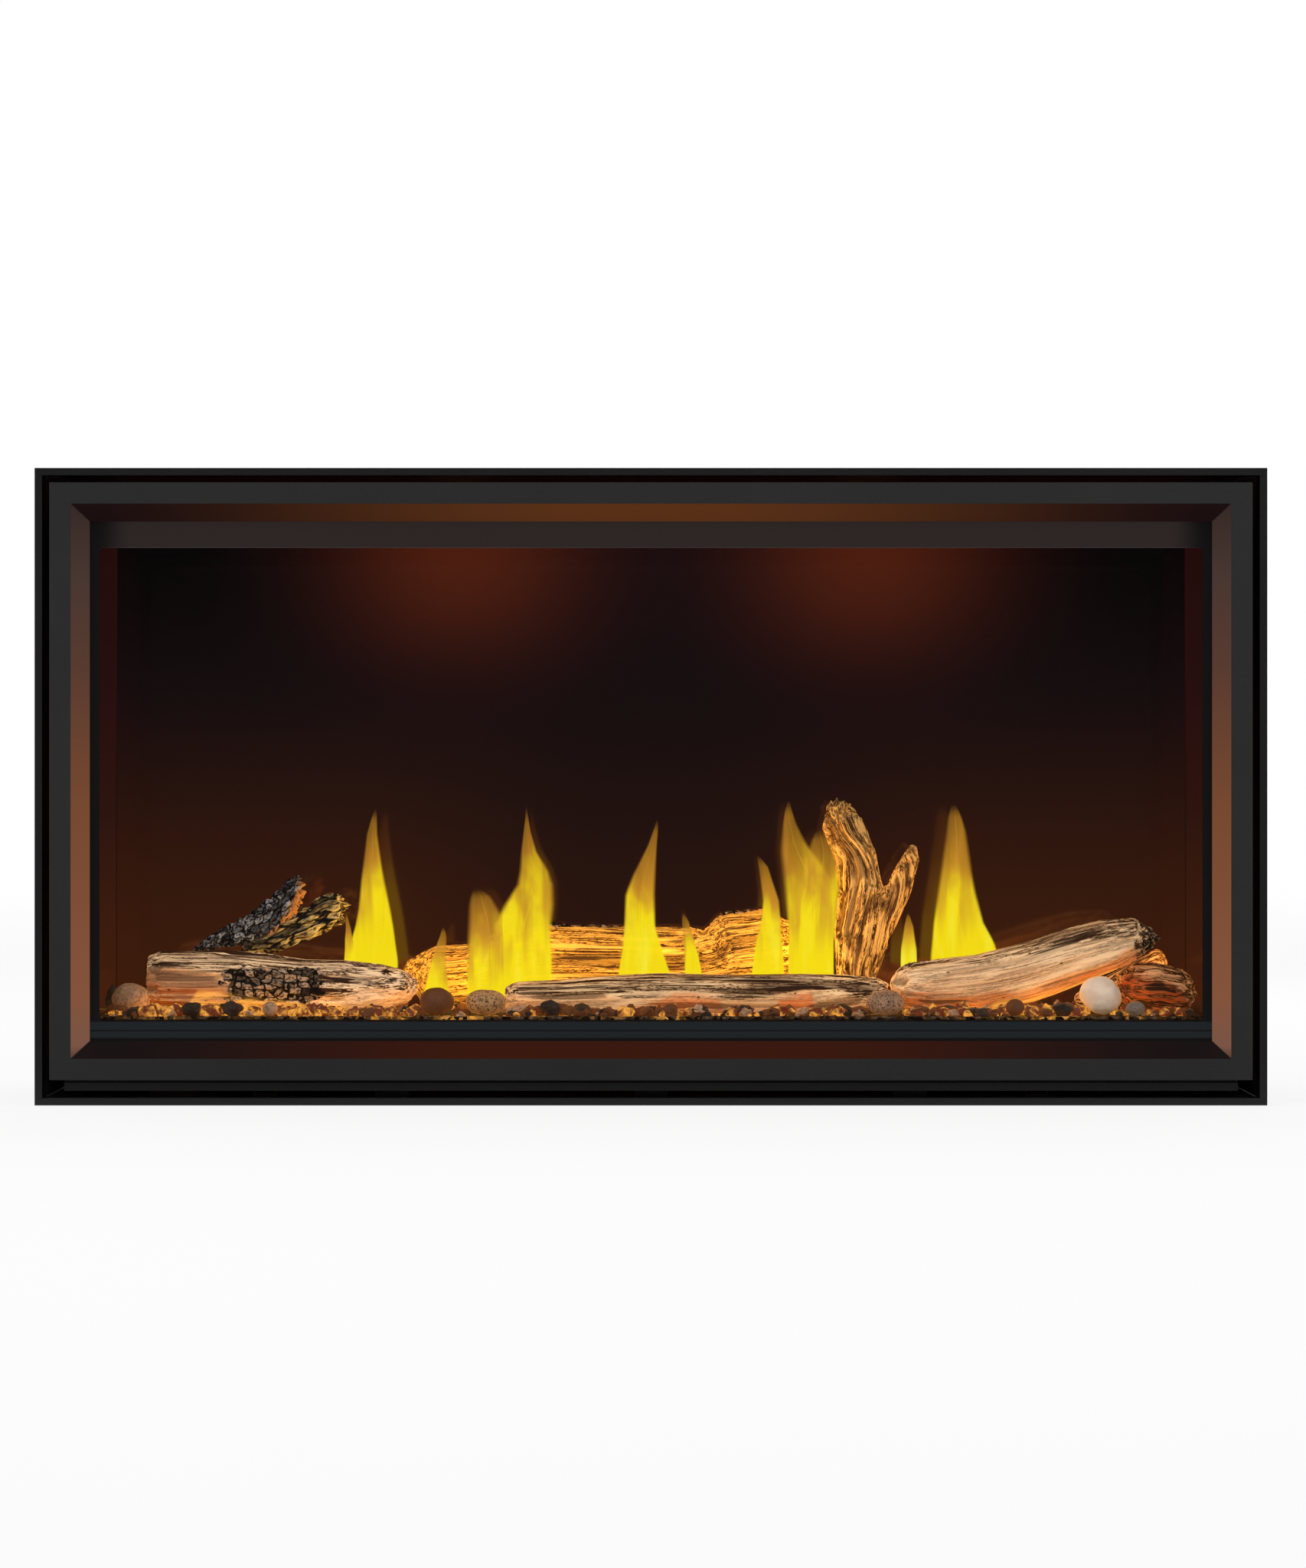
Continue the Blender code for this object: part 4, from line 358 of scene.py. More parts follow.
def powder_coat_grain(w, given):
    """Fine orange-peel grain and faint mottling of powder coat."""
    place = w.place()
    broad = w.noise(place, 7.0, 4.0)
    speck = w.noise(place, 2300.0, 1.0)
    spread = w.times(w.less(broad, 0.5), given["Mottle"])
    level = w.plus(w.plus(spread, 0.92), w.between(speck, 0.35, 0.75, -0.10, 0.26))
    return {
        "Color": w.tint(given["Color"], w.grey(level)),
        "Roughness": w.plus(given["Roughness"], w.between(broad, 0.3, 0.7, -0.05, 0.05)),
        "Height": w.noise(place, given["Grain Scale"], 2.0),
    }


def zinc_spangle(w, given):
    """Zinc crystals of galvanised sheet."""
    place = w.place()
    wander = w.scaled(w.add("TexNoise", {"Vector": place, "Scale": 40.0}).outputs["Color"], (0.012,) * 3)
    bent = w.add("VectorMath", {0: place, 1: wander}, operation="ADD").outputs[0]
    tone = w.split(w.cells(bent, given["Crystal Scale"])["Color"])
    stain = w.noise(place, 5.0, 4.0)
    level = w.times(w.between(tone[0], 0.0, 1.0, 0.80, 1.10, False), w.between(stain, 0.3, 0.7, 0.88, 1.04))
    return {
        "Color": w.tint(given["Color"], w.grey(level)),
        "Roughness": w.between(tone[1], 0.0, 1.0, 0.30, 0.50, False),
        "Height": w.noise(place, 400.0, 2.0),
    }


def driftwood_grain(w, given):
    """Weathered grain that runs along a log, from a vector that holds the way along and the place across."""
    grain, bare, dark = given["Grain"], given["Bare"], given["Dark"]
    broad = w.noise(grain, (8, 40, 40))
    lines = w.noise(grain, (5, 230, 230), 4.0, 0.62)
    hair = w.noise(grain, (11, 640, 640), 3.0, 0.6)
    vein = w.noise(grain, (7, 330, 330), 3.0, 0.6)
    grit = w.noise(grain, (190, 620, 620), 4.0, 0.7)
    gape = w.noise(grain, (6, 150, 150), 2.0)
    holes = w.cells(w.scaled(grain, (60, 105, 105)), 1.0)["Distance"]
    weathered = w.between(bare, 0.0, 1.0, 1.0, 0.36)
    band = w.plus(w.between(lines, 0.44, 0.58, 0.0, 0.85), w.between(broad, 0.46, 0.60, 0.0, 0.45))
    band = w.math("MULTIPLY", w.times(band, given["Bands"]), w.between(bare, 0.0, 1.0, 1.0, 0.22), True)
    wood = w.mixed(given["Pale"], given["Tan"], band)
    blush = w.times(bare, w.between(broad, 0.40, 0.62, 0.15, 0.75))
    wood = w.mixed(wood, w.tint(wood, (0.98, 0.76, 0.60)), blush)
    # Painted shade: below the line that the mesh marks, the wood is tinted darker and redder, as the side that
    # the lamps leave in shade, lit by the fire's red glow
    fire_shade_grain = w.between(w.plus(lines, w.times(broad, 0.5)), 0.62, 0.84, 1.0, 0.55)
    wood = w.mixed(wood, w.tint(wood, given["Singed"]), w.times(given["Scorch"], fire_shade_grain))
    streak = w.times(w.between(hair, 0.49, 0.57), w.between(lines, 0.43, 0.54, 0.18, 1.0))
    veined = w.times(
        weathered, w.between(broad, 0.40, 0.52, 0.25, 1.0), w.between(vein, 0.535, 0.585, 0.0, 0.85)
    )
    gritty = w.times(
        weathered, w.between(lines, 0.45, 0.55, 0.12, 1.0), w.between(grit, 0.50, 0.57, 0.0, 0.90)
    )
    pitted = w.between(w.noise(grain, (30, 60, 60), 2.0), 0.52, 0.56)
    pits = w.times(w.between(holes, 0.07, 0.15, 0.9, 0.0), pitted)
    cracks = w.times(w.between(gape, 0.575, 0.62), given["Cracks"], weathered)
    low = w.most(cracks, pits, given["Hollow"])
    for darkened in (w.times(streak, weathered), veined, gritty, low):
        wood = w.mixed(wood, dark, darkened)
    fine = w.plus(w.times(lines, -0.8), w.times(w.most(streak, gritty), -0.45))
    return {"Color": wood, "Height": w.less(fine, low), "Roughness": w.between(lines, 0.3, 0.7, 0.72, 0.92)}


def char_blocks(w, given):
    """Charred wood, cracked into square blocks with grey tops."""
    along, across, through = w.split(given["Grain"])
    shortened = w.times(along, given["Block Scale"])
    stretched = w.add("CombineXYZ", {0: shortened, 1: across, 2: through}).outputs[0]
    blocks = w.scaled(stretched, CHAR_BLOCKS)
    nearest = w.cells(blocks, 1.0, distance="CHEBYCHEV")
    second = w.cells(blocks, 1.0, distance="CHEBYCHEV", feature="F2")
    raised = w.between(w.less(second["Distance"], nearest["Distance"]), 0.05, 0.18)
    fine = w.noise(blocks, 3.5, 4.0, 0.6)
    uneven = w.between(w.split(nearest["Color"])[0], 0.10, 0.80, 0.22, 1.0)
    tone = w.times(raised, uneven, w.between(fine, 0.36, 0.62, 0.08, 1.0))
    return {
        "Color": w.mixed((0.0065, 0.005, 0.0045), given["Highlight"], tone),
        "Height": w.plus(w.times(raised, 0.8), w.times(fine, 0.3)),
        "Roughness": w.between(fine, 0.3, 0.7, 0.60, 0.90),
    }


def firelight(w, given):
    """The fire's light on a surface, from the light that falls there and the surface's own colour."""
    amount = w.times(given["Light"], given["Strength"])
    flame = w.add("VectorMath", {0: given["Warmth"], "Scale": amount}, operation="SCALE").outputs[0]
    return {"Emission": w.tint(given["Color"], w.tint(flame, given["Fill"], 1.0, "ADD"))}


def stone_speckle(w, given):
    """Speckles and soft clouding of a river stone."""
    place = w.place()
    cloud = w.noise(place, 60.0)
    specks = w.noise(place, given["Speckle Scale"], 3.0, 0.7)
    base = w.mixed(given["Color"], given["Speckle"], w.between(cloud, 0.35, 0.75, 0.0, 0.45))
    speckled = w.times(w.between(specks, 0.50, 0.60), given["Amount"])
    return {"Color": w.mixed(base, given["Speckle"], speckled), "Height": w.plus(specks, cloud)}


def metal_tarnish(w, given):
    """Soft stains and fine turning marks on brass and steel."""
    place = w.place()
    stain = w.noise(place, 45.0, 4.0)
    return {
        "Color": w.mixed(given["Color"], given["Stain"], w.between(stain, 0.45, 0.7, 0.0, 0.55)),
        "Roughness": w.plus(given["Roughness"], w.between(stain, 0.3, 0.7, -0.06, 0.14)),
        "Height": w.noise(place, (1800, 300, 1800), 2.0),
    }


# Each effect's inputs: a kind of socket, or the value at which a plain number starts
EFFECTS = {
    powder_coat_grain: {"Color": "Color", "Grain Scale": 900.0, "Mottle": 0.25, "Roughness": 0.45},
    zinc_spangle: {"Color": "Color", "Crystal Scale": 85.0},
    driftwood_grain: {
        "Grain": "Vector", "Pale": "Color", "Tan": "Color", "Dark": "Color", "Bands": 0.5, "Cracks": 0.5,
        "Hollow": 0.0, "Scorch": 0.0, "Singed": "Color", "Bare": 0.0,
    },
    char_blocks: {"Grain": "Vector", "Highlight": "Color", "Block Scale": 1.0},
    firelight: {"Color": "Color", "Light": 0.0, "Warmth": "Color", "Strength": 1.0, "Fill": "Color"},
    stone_speckle: {"Color": "Color", "Speckle": "Color", "Speckle Scale": 500.0, "Amount": 0.5},
    metal_tarnish: {"Color": "Color", "Stain": "Color", "Roughness": 0.3},
}


def effect_group(effect):
    """The shader node group of an effect, built the first time that it is asked for."""
    tree = bpy.data.node_groups.get(effect.__name__)
    if tree is None:
        tree = bpy.data.node_groups.new(effect.__name__, "ShaderNodeTree")

        def socket(label, way, kind):
            return tree.interface.new_socket(name=label, in_out=way, socket_type="NodeSocket" + kind)

        for label, start in EFFECTS[effect].items():
            if isinstance(start, float):
                socket(label, "INPUT", "Float").default_value = start
            else:
                socket(label, "INPUT", start)
        w = Wiring(tree)
        made = effect(w, tree.nodes.new("NodeGroupInput").outputs)
        for label in made:
            socket(label, "OUTPUT", "Color" if label in ("Color", "Emission") else "Float")
        out = tree.nodes.new("NodeGroupOutput").inputs
        for label, value in made.items():
            w.feed(out[label], value)
    return tree


def placed(w, effect, **inputs):
    """An effect's node group in a material, with its own values: its outputs."""
    made = w.add("Group")
    made.node_tree = effect_group(effect)
    for label, value in inputs.items():
        w.feed(made.inputs[label.replace("_", " ")], value)
    return made.outputs


def new_material(name, **constants):
    """A material with one Principled shader: the material, its wiring and the shader's inputs."""
    material = bpy.data.materials.new(name)
    material.use_nodes = True
    w = Wiring(material.node_tree)
    shader = material.node_tree.nodes["Principled BSDF"].inputs
    for label, value in constants.items():
        w.feed(shader[label.replace("_", " ")], value)
    return material, w, shader


def bump(w, shader, height, distance, strength=1.0):
    made = w.add("Bump", {"Strength": strength, "Distance": distance, "Height": height})
    w.feed(shader["Normal"], made.outputs[0])


def coated(w, shader, coat, distance, strength):
    """Gives the shader an effect's colour and roughness, and its height as a bump."""
    w.feed(shader["Base Color"], coat["Color"])
    w.feed(shader["Roughness"], coat["Roughness"])
    bump(w, shader, coat["Height"], distance, strength)


def glowing(w, shader, given_off):
    """Gives the shader a light of its own."""
    w.feed(shader["Emission Strength"], 1.0)
    w.feed(shader["Emission Color"], given_off)


def once(maker):
    """A material maker that gives the same material each time for the same words."""
    made = {}

    def kept(*words):
        if words not in made:
            made[words] = maker(*words)
        return made[words]

    return kept


# Materials


@once
def powder_coat(name, colour_name, roughness):
    material, w, shader = new_material(name, Specular_IOR_Level=0.35)
    coat = placed(w, powder_coat_grain, Color=getattr(finishes(), colour_name), Roughness=roughness)
    coated(w, shader, coat, 0.0002, 0.35)
    return material


@once
def bezel_coat():
    """Charcoal powder coat; the four slopes painted near black as shade, with the fire's brown light painted on
    them.
    """
    lean = 0.838
    material, w, shader = new_material("bezel_coat", Specular_IOR_Level=0.08)
    coat = placed(w, powder_coat_grain, Color=finishes().bezel_charcoal, Roughness=0.45)
    w.feed(shader["Roughness"], coat["Roughness"])
    bump(w, shader, coat["Height"], 0.0002, 0.35)
    x, y, z = w.split(w.place())
    normal_x, normal_y, normal_z = w.split(w.place("Normal"))

    def sloping(way):
        return w.between(w.apart(way, lean), 0.06, 0.14, 1.0, 0.0)

    slope_side = sloping(w.apart(normal_x))
    slope_up = sloping(normal_z)
    slope_down = sloping(w.times(normal_z, -1.0))
    inward = w.apart(x)
    side = w.ramp(
        w.between(z, 0.045, 0.705, 0.0, 1.0, False),
        (0.00, (0.020, 0.008, 0.005)), (0.035, (0.190, 0.088, 0.058)), (0.12, (0.225, 0.084, 0.042)),
        (0.45, (0.180, 0.064, 0.028)), (0.70, (0.094, 0.042, 0.028)), (0.86, (0.062, 0.036, 0.029)),
        (1.0, (0.030, 0.018, 0.016)),
    )
    top = w.mixed((0.009, 0.003, 0.003), (0.092, 0.026, 0.007), w.between(inward, 0.05, 0.64, 1.0, 0.0))
    foot = w.mixed((0.008, 0.005, 0.005), (0.040, 0.008, 0.003), w.between(inward, 0.15, 0.64, 1.0, 0.0))
    slopes = w.most(slope_up, slope_down, slope_side)
    w.feed(shader["Base Color"], w.mixed(coat["Color"], (0.004, 0.003, 0.003), slopes))
    glow = (0, 0, 0)
    for light, slope in ((side, slope_side), (top, slope_down), (foot, slope_up)):
        glow = w.mixed(glow, light, slope)
    glowing(w, shader, glow)
    return material


@once
def door_coat():
    """Door frame: powder coat, with painted glow: faint all over, warm from the fire on the head, cool along
    the sill.
    """
    material, w, shader = new_material("door_coat", Specular_IOR_Level=0.35)
    coated(w, shader, placed(w, powder_coat_grain, Color=finishes().door_black, Roughness=0.42), 0.0002, 0.3)
    x, y, z = w.split(w.place())
    head = w.times(w.between(z, 0.6435, 0.6440), w.between(w.apart(x), 0.60, 0.642, 1.0, 0.0))
    lip = w.times(head, w.between(z, 0.6446, 0.6452, 1.0, 0.0))
    step = w.between(w.apart(z, 0.0851), 0.0004, 0.0008)
    foot = w.times(w.between(z, 0.0945, 0.0960, 1.0, 0.0), w.between(z, 0.0765, 0.0772), step)
    glow = (0.0035, 0.0028, 0.0027)
    for light, where in (
        ((0.0225, 0.0160, 0.0150), head), ((0.0420, 0.0330, 0.0320), lip), ((0.0100, 0.0128, 0.0155), foot)
    ):
        glow = w.mixed(glow, light, where)
    glowing(w, shader, glow)
    return material


@once
def firebox_coat():
    """Heat-proof black paint with the dim red light of the fire."""
    material, w, shader = new_material("firebox_coat", Specular_IOR_Level=0.25)
    paint = placed(w, powder_coat_grain, Color=finishes().firebox_black, Roughness=0.62)
    coated(w, shader, paint, 0.0003, 0.4)
    x, y, z = w.split(w.place())
    inside = w.times(w.between(w.apart(x), 0.6575, 0.6580, 1.0, 0.0), w.between(z, 0.0940, 0.0946))
    glowing(w, shader, w.mixed((0, 0, 0), (0.006, 0.0015, 0.001), inside))
    return material


@once
def panel_enamel():
    """Glossy black panel, with the lamps' spots under the roof and a brown glow that rises from the bed."""
    spot_z, spot_half_width, spot_half_height = 0.650, 0.135, 0.110
    material, w, shader = new_material(
        "panel_enamel", IOR=1.85, Roughness=0.07, Specular_Tint=(1.0, 0.66, 0.45)
    )
    place = w.place()
    x, y, z = w.split(place)
    waver = w.noise(place, 3.0, 2.0)
    w.feed(shader["Base Color"], w.mixed(finishes().porcelain_black, (0.002, 0.002, 0.002), waver))
    inward = w.apart(x)
    flank = w.between(inward, 0.05, 0.38, 0.45, 1.0)
    # Painted shade: the glow is dimmer in the upper corners
    corner = w.times(w.between(inward, 0.25, 0.60), w.between(z, 0.45, 0.66))
    glow = w.mixed((0.0062, 0.0030, 0.0036), (0.0012, 0.0011, 0.0012), corner)
    glow = w.mixed(glow, (0.0470, 0.0115, 0.0032), w.times(w.between(z, 0.10, 0.52, 1.0, 0.0), flank))
    # The side panels' painted glow is cooler, with a band of the fire's red light across them
    side_panel = w.between(inward, 0.6505, 0.6515)
    glow = w.mixed(glow, w.tint(glow, (0.56, 0.54, 0.62)), side_panel)
    glow = w.mixed(glow, (0.0160, 0.0028, 0.0022), w.times(side_panel, w.between(z, 0.30, 0.40)))
    for spot_x in (-0.232, 0.266):
        across = w.math("POWER", w.math("DIVIDE", w.less(x, spot_x), spot_half_width), 2.0)
        down = w.math("POWER", w.math("DIVIDE", w.less(z, spot_z), spot_half_height), 2.0)
        reach = w.math("EXPONENT", w.times(w.plus(across, down), -1.0))
        spot = w.mixed((0, 0, 0), (0.070, 0.0095, 0.0012), w.times(reach, w.between(y, 0.10, 0.12)))
        glow = w.tint(glow, spot, 1.0, "ADD")
    glowing(w, shader, glow)
    bump(w, shader, waver, 0.002, 0.05)
    return material


@once
def clear_glass():
    material, w, shader = new_material("clear_glass", IOR=1.5, Alpha=0.04, Base_Color=(0.01, 0.01, 0.01))
    w.feed(shader["Roughness"], w.between(w.noise(w.place(), 9.0), 0.3, 0.7, 0.01, 0.05))
    return material


@once
def zinc():
    material, w, shader = new_material("zinc_sheet", Metallic=0.85)
    coated(w, shader, placed(w, zinc_spangle, Color=finishes().galvanised), 0.0002, 0.25)
    return material


@once
def turned_metal(name, base, stain, roughness):
    material, w, shader = new_material(name, Metallic=1.0)
    coated(w, shader, placed(w, metal_tarnish, Color=base, Stain=stain, Roughness=roughness), 0.0001, 0.25)
    return material


@once
def moulded(name, base):
    """Moulded plastic with a fine spark texture."""
    material, w, shader = new_material(name)
    skin = placed(w, powder_coat_grain, Color=base, Grain_Scale=1600.0, Roughness=0.40)
    coated(w, shader, skin, 0.0001, 0.5)
    return material


@once
def rope():
    """Plaited glass-fibre rope."""
    material, w, shader = new_material("gasket_rope", Roughness=0.95)
    x, y, z = w.split(w.place())
    lays = (w.plus(w.plus(x, z), y), w.less(w.less(x, z), y))
    plait = w.most(*(w.math("SINE", w.times(lay, 900.0)) for lay in lays))
    # Painted shade: the strands are darker in the grooves between them and lighter on their crowns
    raised = w.between(plait, -0.2, 0.9)
    w.feed(shader["Base Color"], w.mixed((0.05, 0.045, 0.04), (0.22, 0.20, 0.18), raised))
    bump(w, shader, plait, 0.0008)
    return material


@once
def lamp_lens():
    material, w, shader = new_material("lamp_lens", Roughness=0.25)
    ribs = w.cells(w.place(), 260.0)["Distance"]
    w.feed(shader["Base Color"], w.mixed((0.50, 0.32, 0.18), (0.8, 0.6, 0.4), ribs))
    glowing(w, shader, w.mixed((0.20, 0.060, 0.012), (0.30, 0.12, 0.03), ribs))
    return material


def shifted(base, shares):
    """A colour with each part times its share."""
    return tuple(part * share for part, share in zip(base, shares))


def firelit(w, shader, base, warmth, strength, fill):
    """Gives the shader a colour, and returns the fire's light on it where the mesh's warmth says."""
    w.feed(shader["Base Color"], base)
    light = placed(
        w, firelight, Color=base, Light=w.mark("warmth"), Warmth=warmth, Strength=strength, Fill=fill
    )
    return light["Emission"]


@once
def driftwood(name, bands, cracks, shift, fire_shade_tint):
    """A log: driftwood grain, charred in the patches that the mesh marks, under the fire's light."""
    colours = finishes()
    material, w, shader = new_material(name, Specular_IOR_Level=0.15)
    grain = w.mark("grain", "Vector")
    wood = placed(
        w, driftwood_grain, Grain=grain, Pale=shifted(colours.wood_pale, shift),
        Tan=shifted(colours.wood_tan, shift), Dark=colours.wood_dark, Bands=bands, Cracks=cracks,
        Hollow=w.mark("hollow"), Scorch=w.mark("fire_shade"), Singed=fire_shade_tint, Bare=w.mark("bare"),
    )
    char = placed(w, char_blocks, Grain=grain, Highlight=(0.380, 0.285, 0.215), Block_Scale=0.86)
    burnt = w.between(w.plus(w.mark("char"), w.noise(grain, (70, 100, 100))), 0.93, 1.00)
    surface = w.mixed(wood["Color"], char["Color"], burnt)
    light = firelit(w, shader, surface, colours.fire_warmth, 1.0, colours.bed_fill)
    heat = w.times(w.mark("glow"), w.between(w.noise(grain, (22, 160, 160)), 0.40, 0.60, 0.12, 1.0))
    glowing(w, shader, w.mixed(light, colours.ember_glow, heat))
    w.feed(shader["Roughness"], w.blend(wood["Roughness"], char["Roughness"], burnt))
    bump(w, shader, w.blend(wood["Height"], char["Height"], burnt), 0.0016, 0.9)
    return material


@once
def charred(name, top, block_scale, light_strength):
    """A branch burnt all over, with the fire's light on it."""
    material, w, shader = new_material(name, Specular_IOR_Level=0.5)
    grain = w.mark("grain", "Vector")
    char = placed(w, char_blocks, Grain=grain, Highlight=top, Block_Scale=block_scale)
    # Painted light: below the line that the mesh marks, the fire's orange light is painted into the branch's
    # colour in patches
    split = w.times(w.mark("fire_shade"), w.between(w.noise(grain, 190.0), 0.40, 0.52))
    surface = w.mixed(char["Color"], (0.62, 0.24, 0.045), split)
    glowing(w, shader, firelit(w, shader, surface, (1.0, 0.62, 0.10), light_strength, (0.21, 0.20, 0.21)))
    w.feed(shader["Roughness"], char["Roughness"])
    bump(w, shader, char["Height"], 0.0030)
    return material


@once
def stone(kind):
    base, speckle, scale, amount, roughness, fill_share = STONE_KINDS[kind]
    material, w, shader = new_material(kind, Roughness=roughness)
    rock = placed(w, stone_speckle, Color=base, Speckle=speckle, Speckle_Scale=scale, Amount=amount)
    fill = shifted(finishes().bed_fill, (fill_share,) * 3)
    glowing(w, shader, firelit(w, shader, rock["Color"], finishes().fire_warmth, 1.0, fill))
    bump(w, shader, rock["Height"], 0.0006, 0.6)
    return material


@once
def ember():
    """A glowing ember: bright in its cracks, ashy on its skin."""
    material, w, shader = new_material("ember_glow", Roughness=0.9)
    place = w.place()
    heat = w.noise(place, 85.0, 4.0, 0.6, 0.5)
    w.feed(shader["Base Color"], w.mixed((0.02, 0.010, 0.008), (0.10, 0.06, 0.04), w.noise(place, 420.0)))
    glowing(w, shader, w.mixed((0.11, 0.014, 0.002), finishes().ember_glow, w.between(heat, 0.43, 0.68)))
    bump(w, shader, heat, 0.002)
    return material


@once
def bed_grit():
    """Dark grit between the stones, with the glow of embers in it."""
    material, w, shader = new_material("bed_grit", Roughness=0.9)
    place = w.place()
    grit = w.cells(place, 210.0)
    cell = w.split(grit["Color"])
    pale = w.between(cell[0], 0.4, 1.0)
    w.feed(shader["Base Color"], w.mixed((0.008, 0.006, 0.005), (0.16, 0.10, 0.06), pale))
    hot = w.times(w.between(w.noise(place, 14.0), 0.50, 0.68, 0.04, 0.9), w.between(cell[1], 0.3, 0.9))
    glowing(w, shader, w.mixed((0.004, 0.001, 0.0005), finishes().ember_glow, hot))
    bump(w, shader, grit["Distance"], 0.004)
    return material


@once
def flame_gas():
    """Flame: bright yellow near the burner, mustard above, thin and brown at the tip and the edges."""
    colours = finishes()
    material, w, shader = new_material(
        "flame_gas", Roughness=1.0, Specular_IOR_Level=0.0, Base_Color=(0, 0, 0)
    )
    across, up, strength = w.split(w.mark("tongue", "Vector"))
    place = w.place()
    streak = w.noise(place, (48, 48, 7), 2.0, 0.5, 0.3)
    lick = w.noise(place, (36, 36, 20), 2.0, 0.5, 0.3)
    edge = w.times(w.math("MINIMUM", across, w.less(1.0, across)), 2.0)
    height = w.plus(up, w.between(lick, 0.3, 0.7, -0.14, 0.14))
    yellow = w.times(w.between(streak, 0.50, 0.30, 0.0, 0.7), w.between(up, 0.15, 0.6, 1.0, 0.0))
    body = colours.flame_bright
    for tone, where in (
        (colours.flame_mustard, w.between(height, 0.30, 0.80)),
        (colours.flame_mustard, w.times(w.between(streak, 0.46, 0.64, 0.0, 0.65), w.between(up, 0.05, 0.4))),
        ((1.0, 0.93, 0.06), yellow),
        (colours.flame_tip, w.times(w.between(edge, 0.0, 0.30, 1.0, 0.0), w.between(up, 0.2, 0.75))),
    ):
        body = w.mixed(body, tone, where)
    glowing(w, shader, body)
    sides = w.between(edge, 0.0, w.between(up, 0.10, 0.90, 0.10, 0.42))
    fade = w.between(w.plus(up, w.between(streak, 0.3, 0.7, -0.10, 0.10)), 0.45, 1.05, 0.97, 0.30)
    fade = w.times(fade, w.between(up, 0.90, 1.0, 1.0, 0.0))
    w.feed(shader["Alpha"], w.math("MULTIPLY", w.times(sides, fade), strength, True))
    return material


# Mesh helpers


def solid_copy(node):
    """The node's surface as a closed bmesh."""
    bm = bmesh.new()
    bm.from_mesh(NODES[node].data)
    bmesh.ops.remove_doubles(bm, verts=bm.verts, dist=0.00002)
    return bm


def mesh_from(name, bm):
    mesh = bpy.data.meshes.new(name)
    bm.to_mesh(mesh)
    bm.free()
    return mesh


def piece_of(name, mesh, material, body, slot, *nodes, smooth=0):
    """A shown piece: it rides on a body and stands for the nodes named."""
    piece = bpy.data.objects.new(name, mesh)
    bpy.context.scene.collection.objects.link(piece)
    mesh.materials.append(material)
    if smooth:
        mesh.shade_smooth()
        if smooth < 180:
            mesh.set_sharp_from_angle(angle=math.radians(smooth))
    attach(piece, body)
    if nodes:
        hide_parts(*nodes)
    return piece


def piece_from(name, bm, material, body, slot, *nodes, smooth=0):
    bm.normal_update()
    return piece_of(name, mesh_from(name, bm), material, body, slot, *nodes, smooth=smooth)


def warm_piece(name, bm, material, slot, *nodes, smooth=180):
    """A piece on the casing whose mesh holds the fire's light on it."""
    mesh = mesh_from(name, bm)
    set_values(mesh, "warmth", warmth_at(*mesh_arrays(mesh)))
    piece_of(name, mesh, material, "casing", slot, *nodes, smooth=smooth)


def rounded(bm, radius):
    """Rounds the edges of bent sheet. Only the roundings are shaded smooth, so that the flats stay flat."""
    flat_below, sharp_above = math.radians(1), math.radians(25)
    bmesh.ops.dissolve_limit(bm, angle_limit=flat_below, verts=bm.verts, edges=bm.edges)
    sharp = [e for e in bm.edges if len(e.link_faces) == 2 and e.calc_face_angle(0) > sharp_above]
    for face in bm.faces:
        face.smooth = False
    if sharp and radius > 0:
        made = bmesh.ops.bevel(
            bm, geom=sharp, offset=radius, offset_type="OFFSET", segments=2, profile=0.6, affect="EDGES",
            clamp_overlap=True,
        )
        for face in made["faces"]:
            face.smooth = True


def dressed(name, node, material, slot, radius=None):
    """A sheet piece with rounded edges in place of a CAD node."""
    bm = solid_copy(node)
    rounded(bm, sizes().edge_rounding if radius is None else radius)
    return piece_from(name, bm, material, NODES[node]["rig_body"], slot, node)


def recoat(material, *nodes):
    """CAD nodes keep their shape and get a better material."""
    for node in nodes:
        for slot in NODES[node].material_slots:
            slot.material = material
        if not NODES[node].data.materials:
            NODES[node].data.materials.append(material)


def bridged(bm, rings, closed=True):
    """Faces between each ring of vertices and the next one."""
    made = []
    for ring, following in zip(rings, rings[1:]):
        for k in range(len(ring) if closed else len(ring) - 1):
            m = (k + 1) % len(ring)
            made.append(bm.faces.new((ring[k], ring[m], following[m], following[k])))
    return made


def add_screw(bm, place, outward, width):
    """A hex washer head screw, with its seat on the sheet."""
    sides, rise = 24, 0.003
    place, outward = Vector(place), Vector(outward).normalized()
    side = outward.orthogonal().normalized()
    other = outward.cross(side)
    rings = []
    for hexed, reach, height in (
        (False, 0.78, 0.0), (False, 0.78, 0.22), (False, 0.52, 0.30), (True, 0.50, 0.30), (True, 0.50, 0.88),
        (True, 0.42, 1.0), (False, 0.22, 1.0), (False, 0.16, 0.86),
    ):
        ring = []
        for k in range(sides):
            turn = 2 * math.pi * k / sides
            flat = math.cos(math.pi / 6) / math.cos((turn % (math.pi / 3)) - math.pi / 6) if hexed else 1.0
            out = width * reach * flat
            x, y = out * math.cos(turn), out * math.sin(turn)
            ring.append(bm.verts.new(place + side * x + other * y + outward * (rise * height)))
        rings.append(ring)
    bridged(bm, rings)
    bm.faces.new(rings[-1])


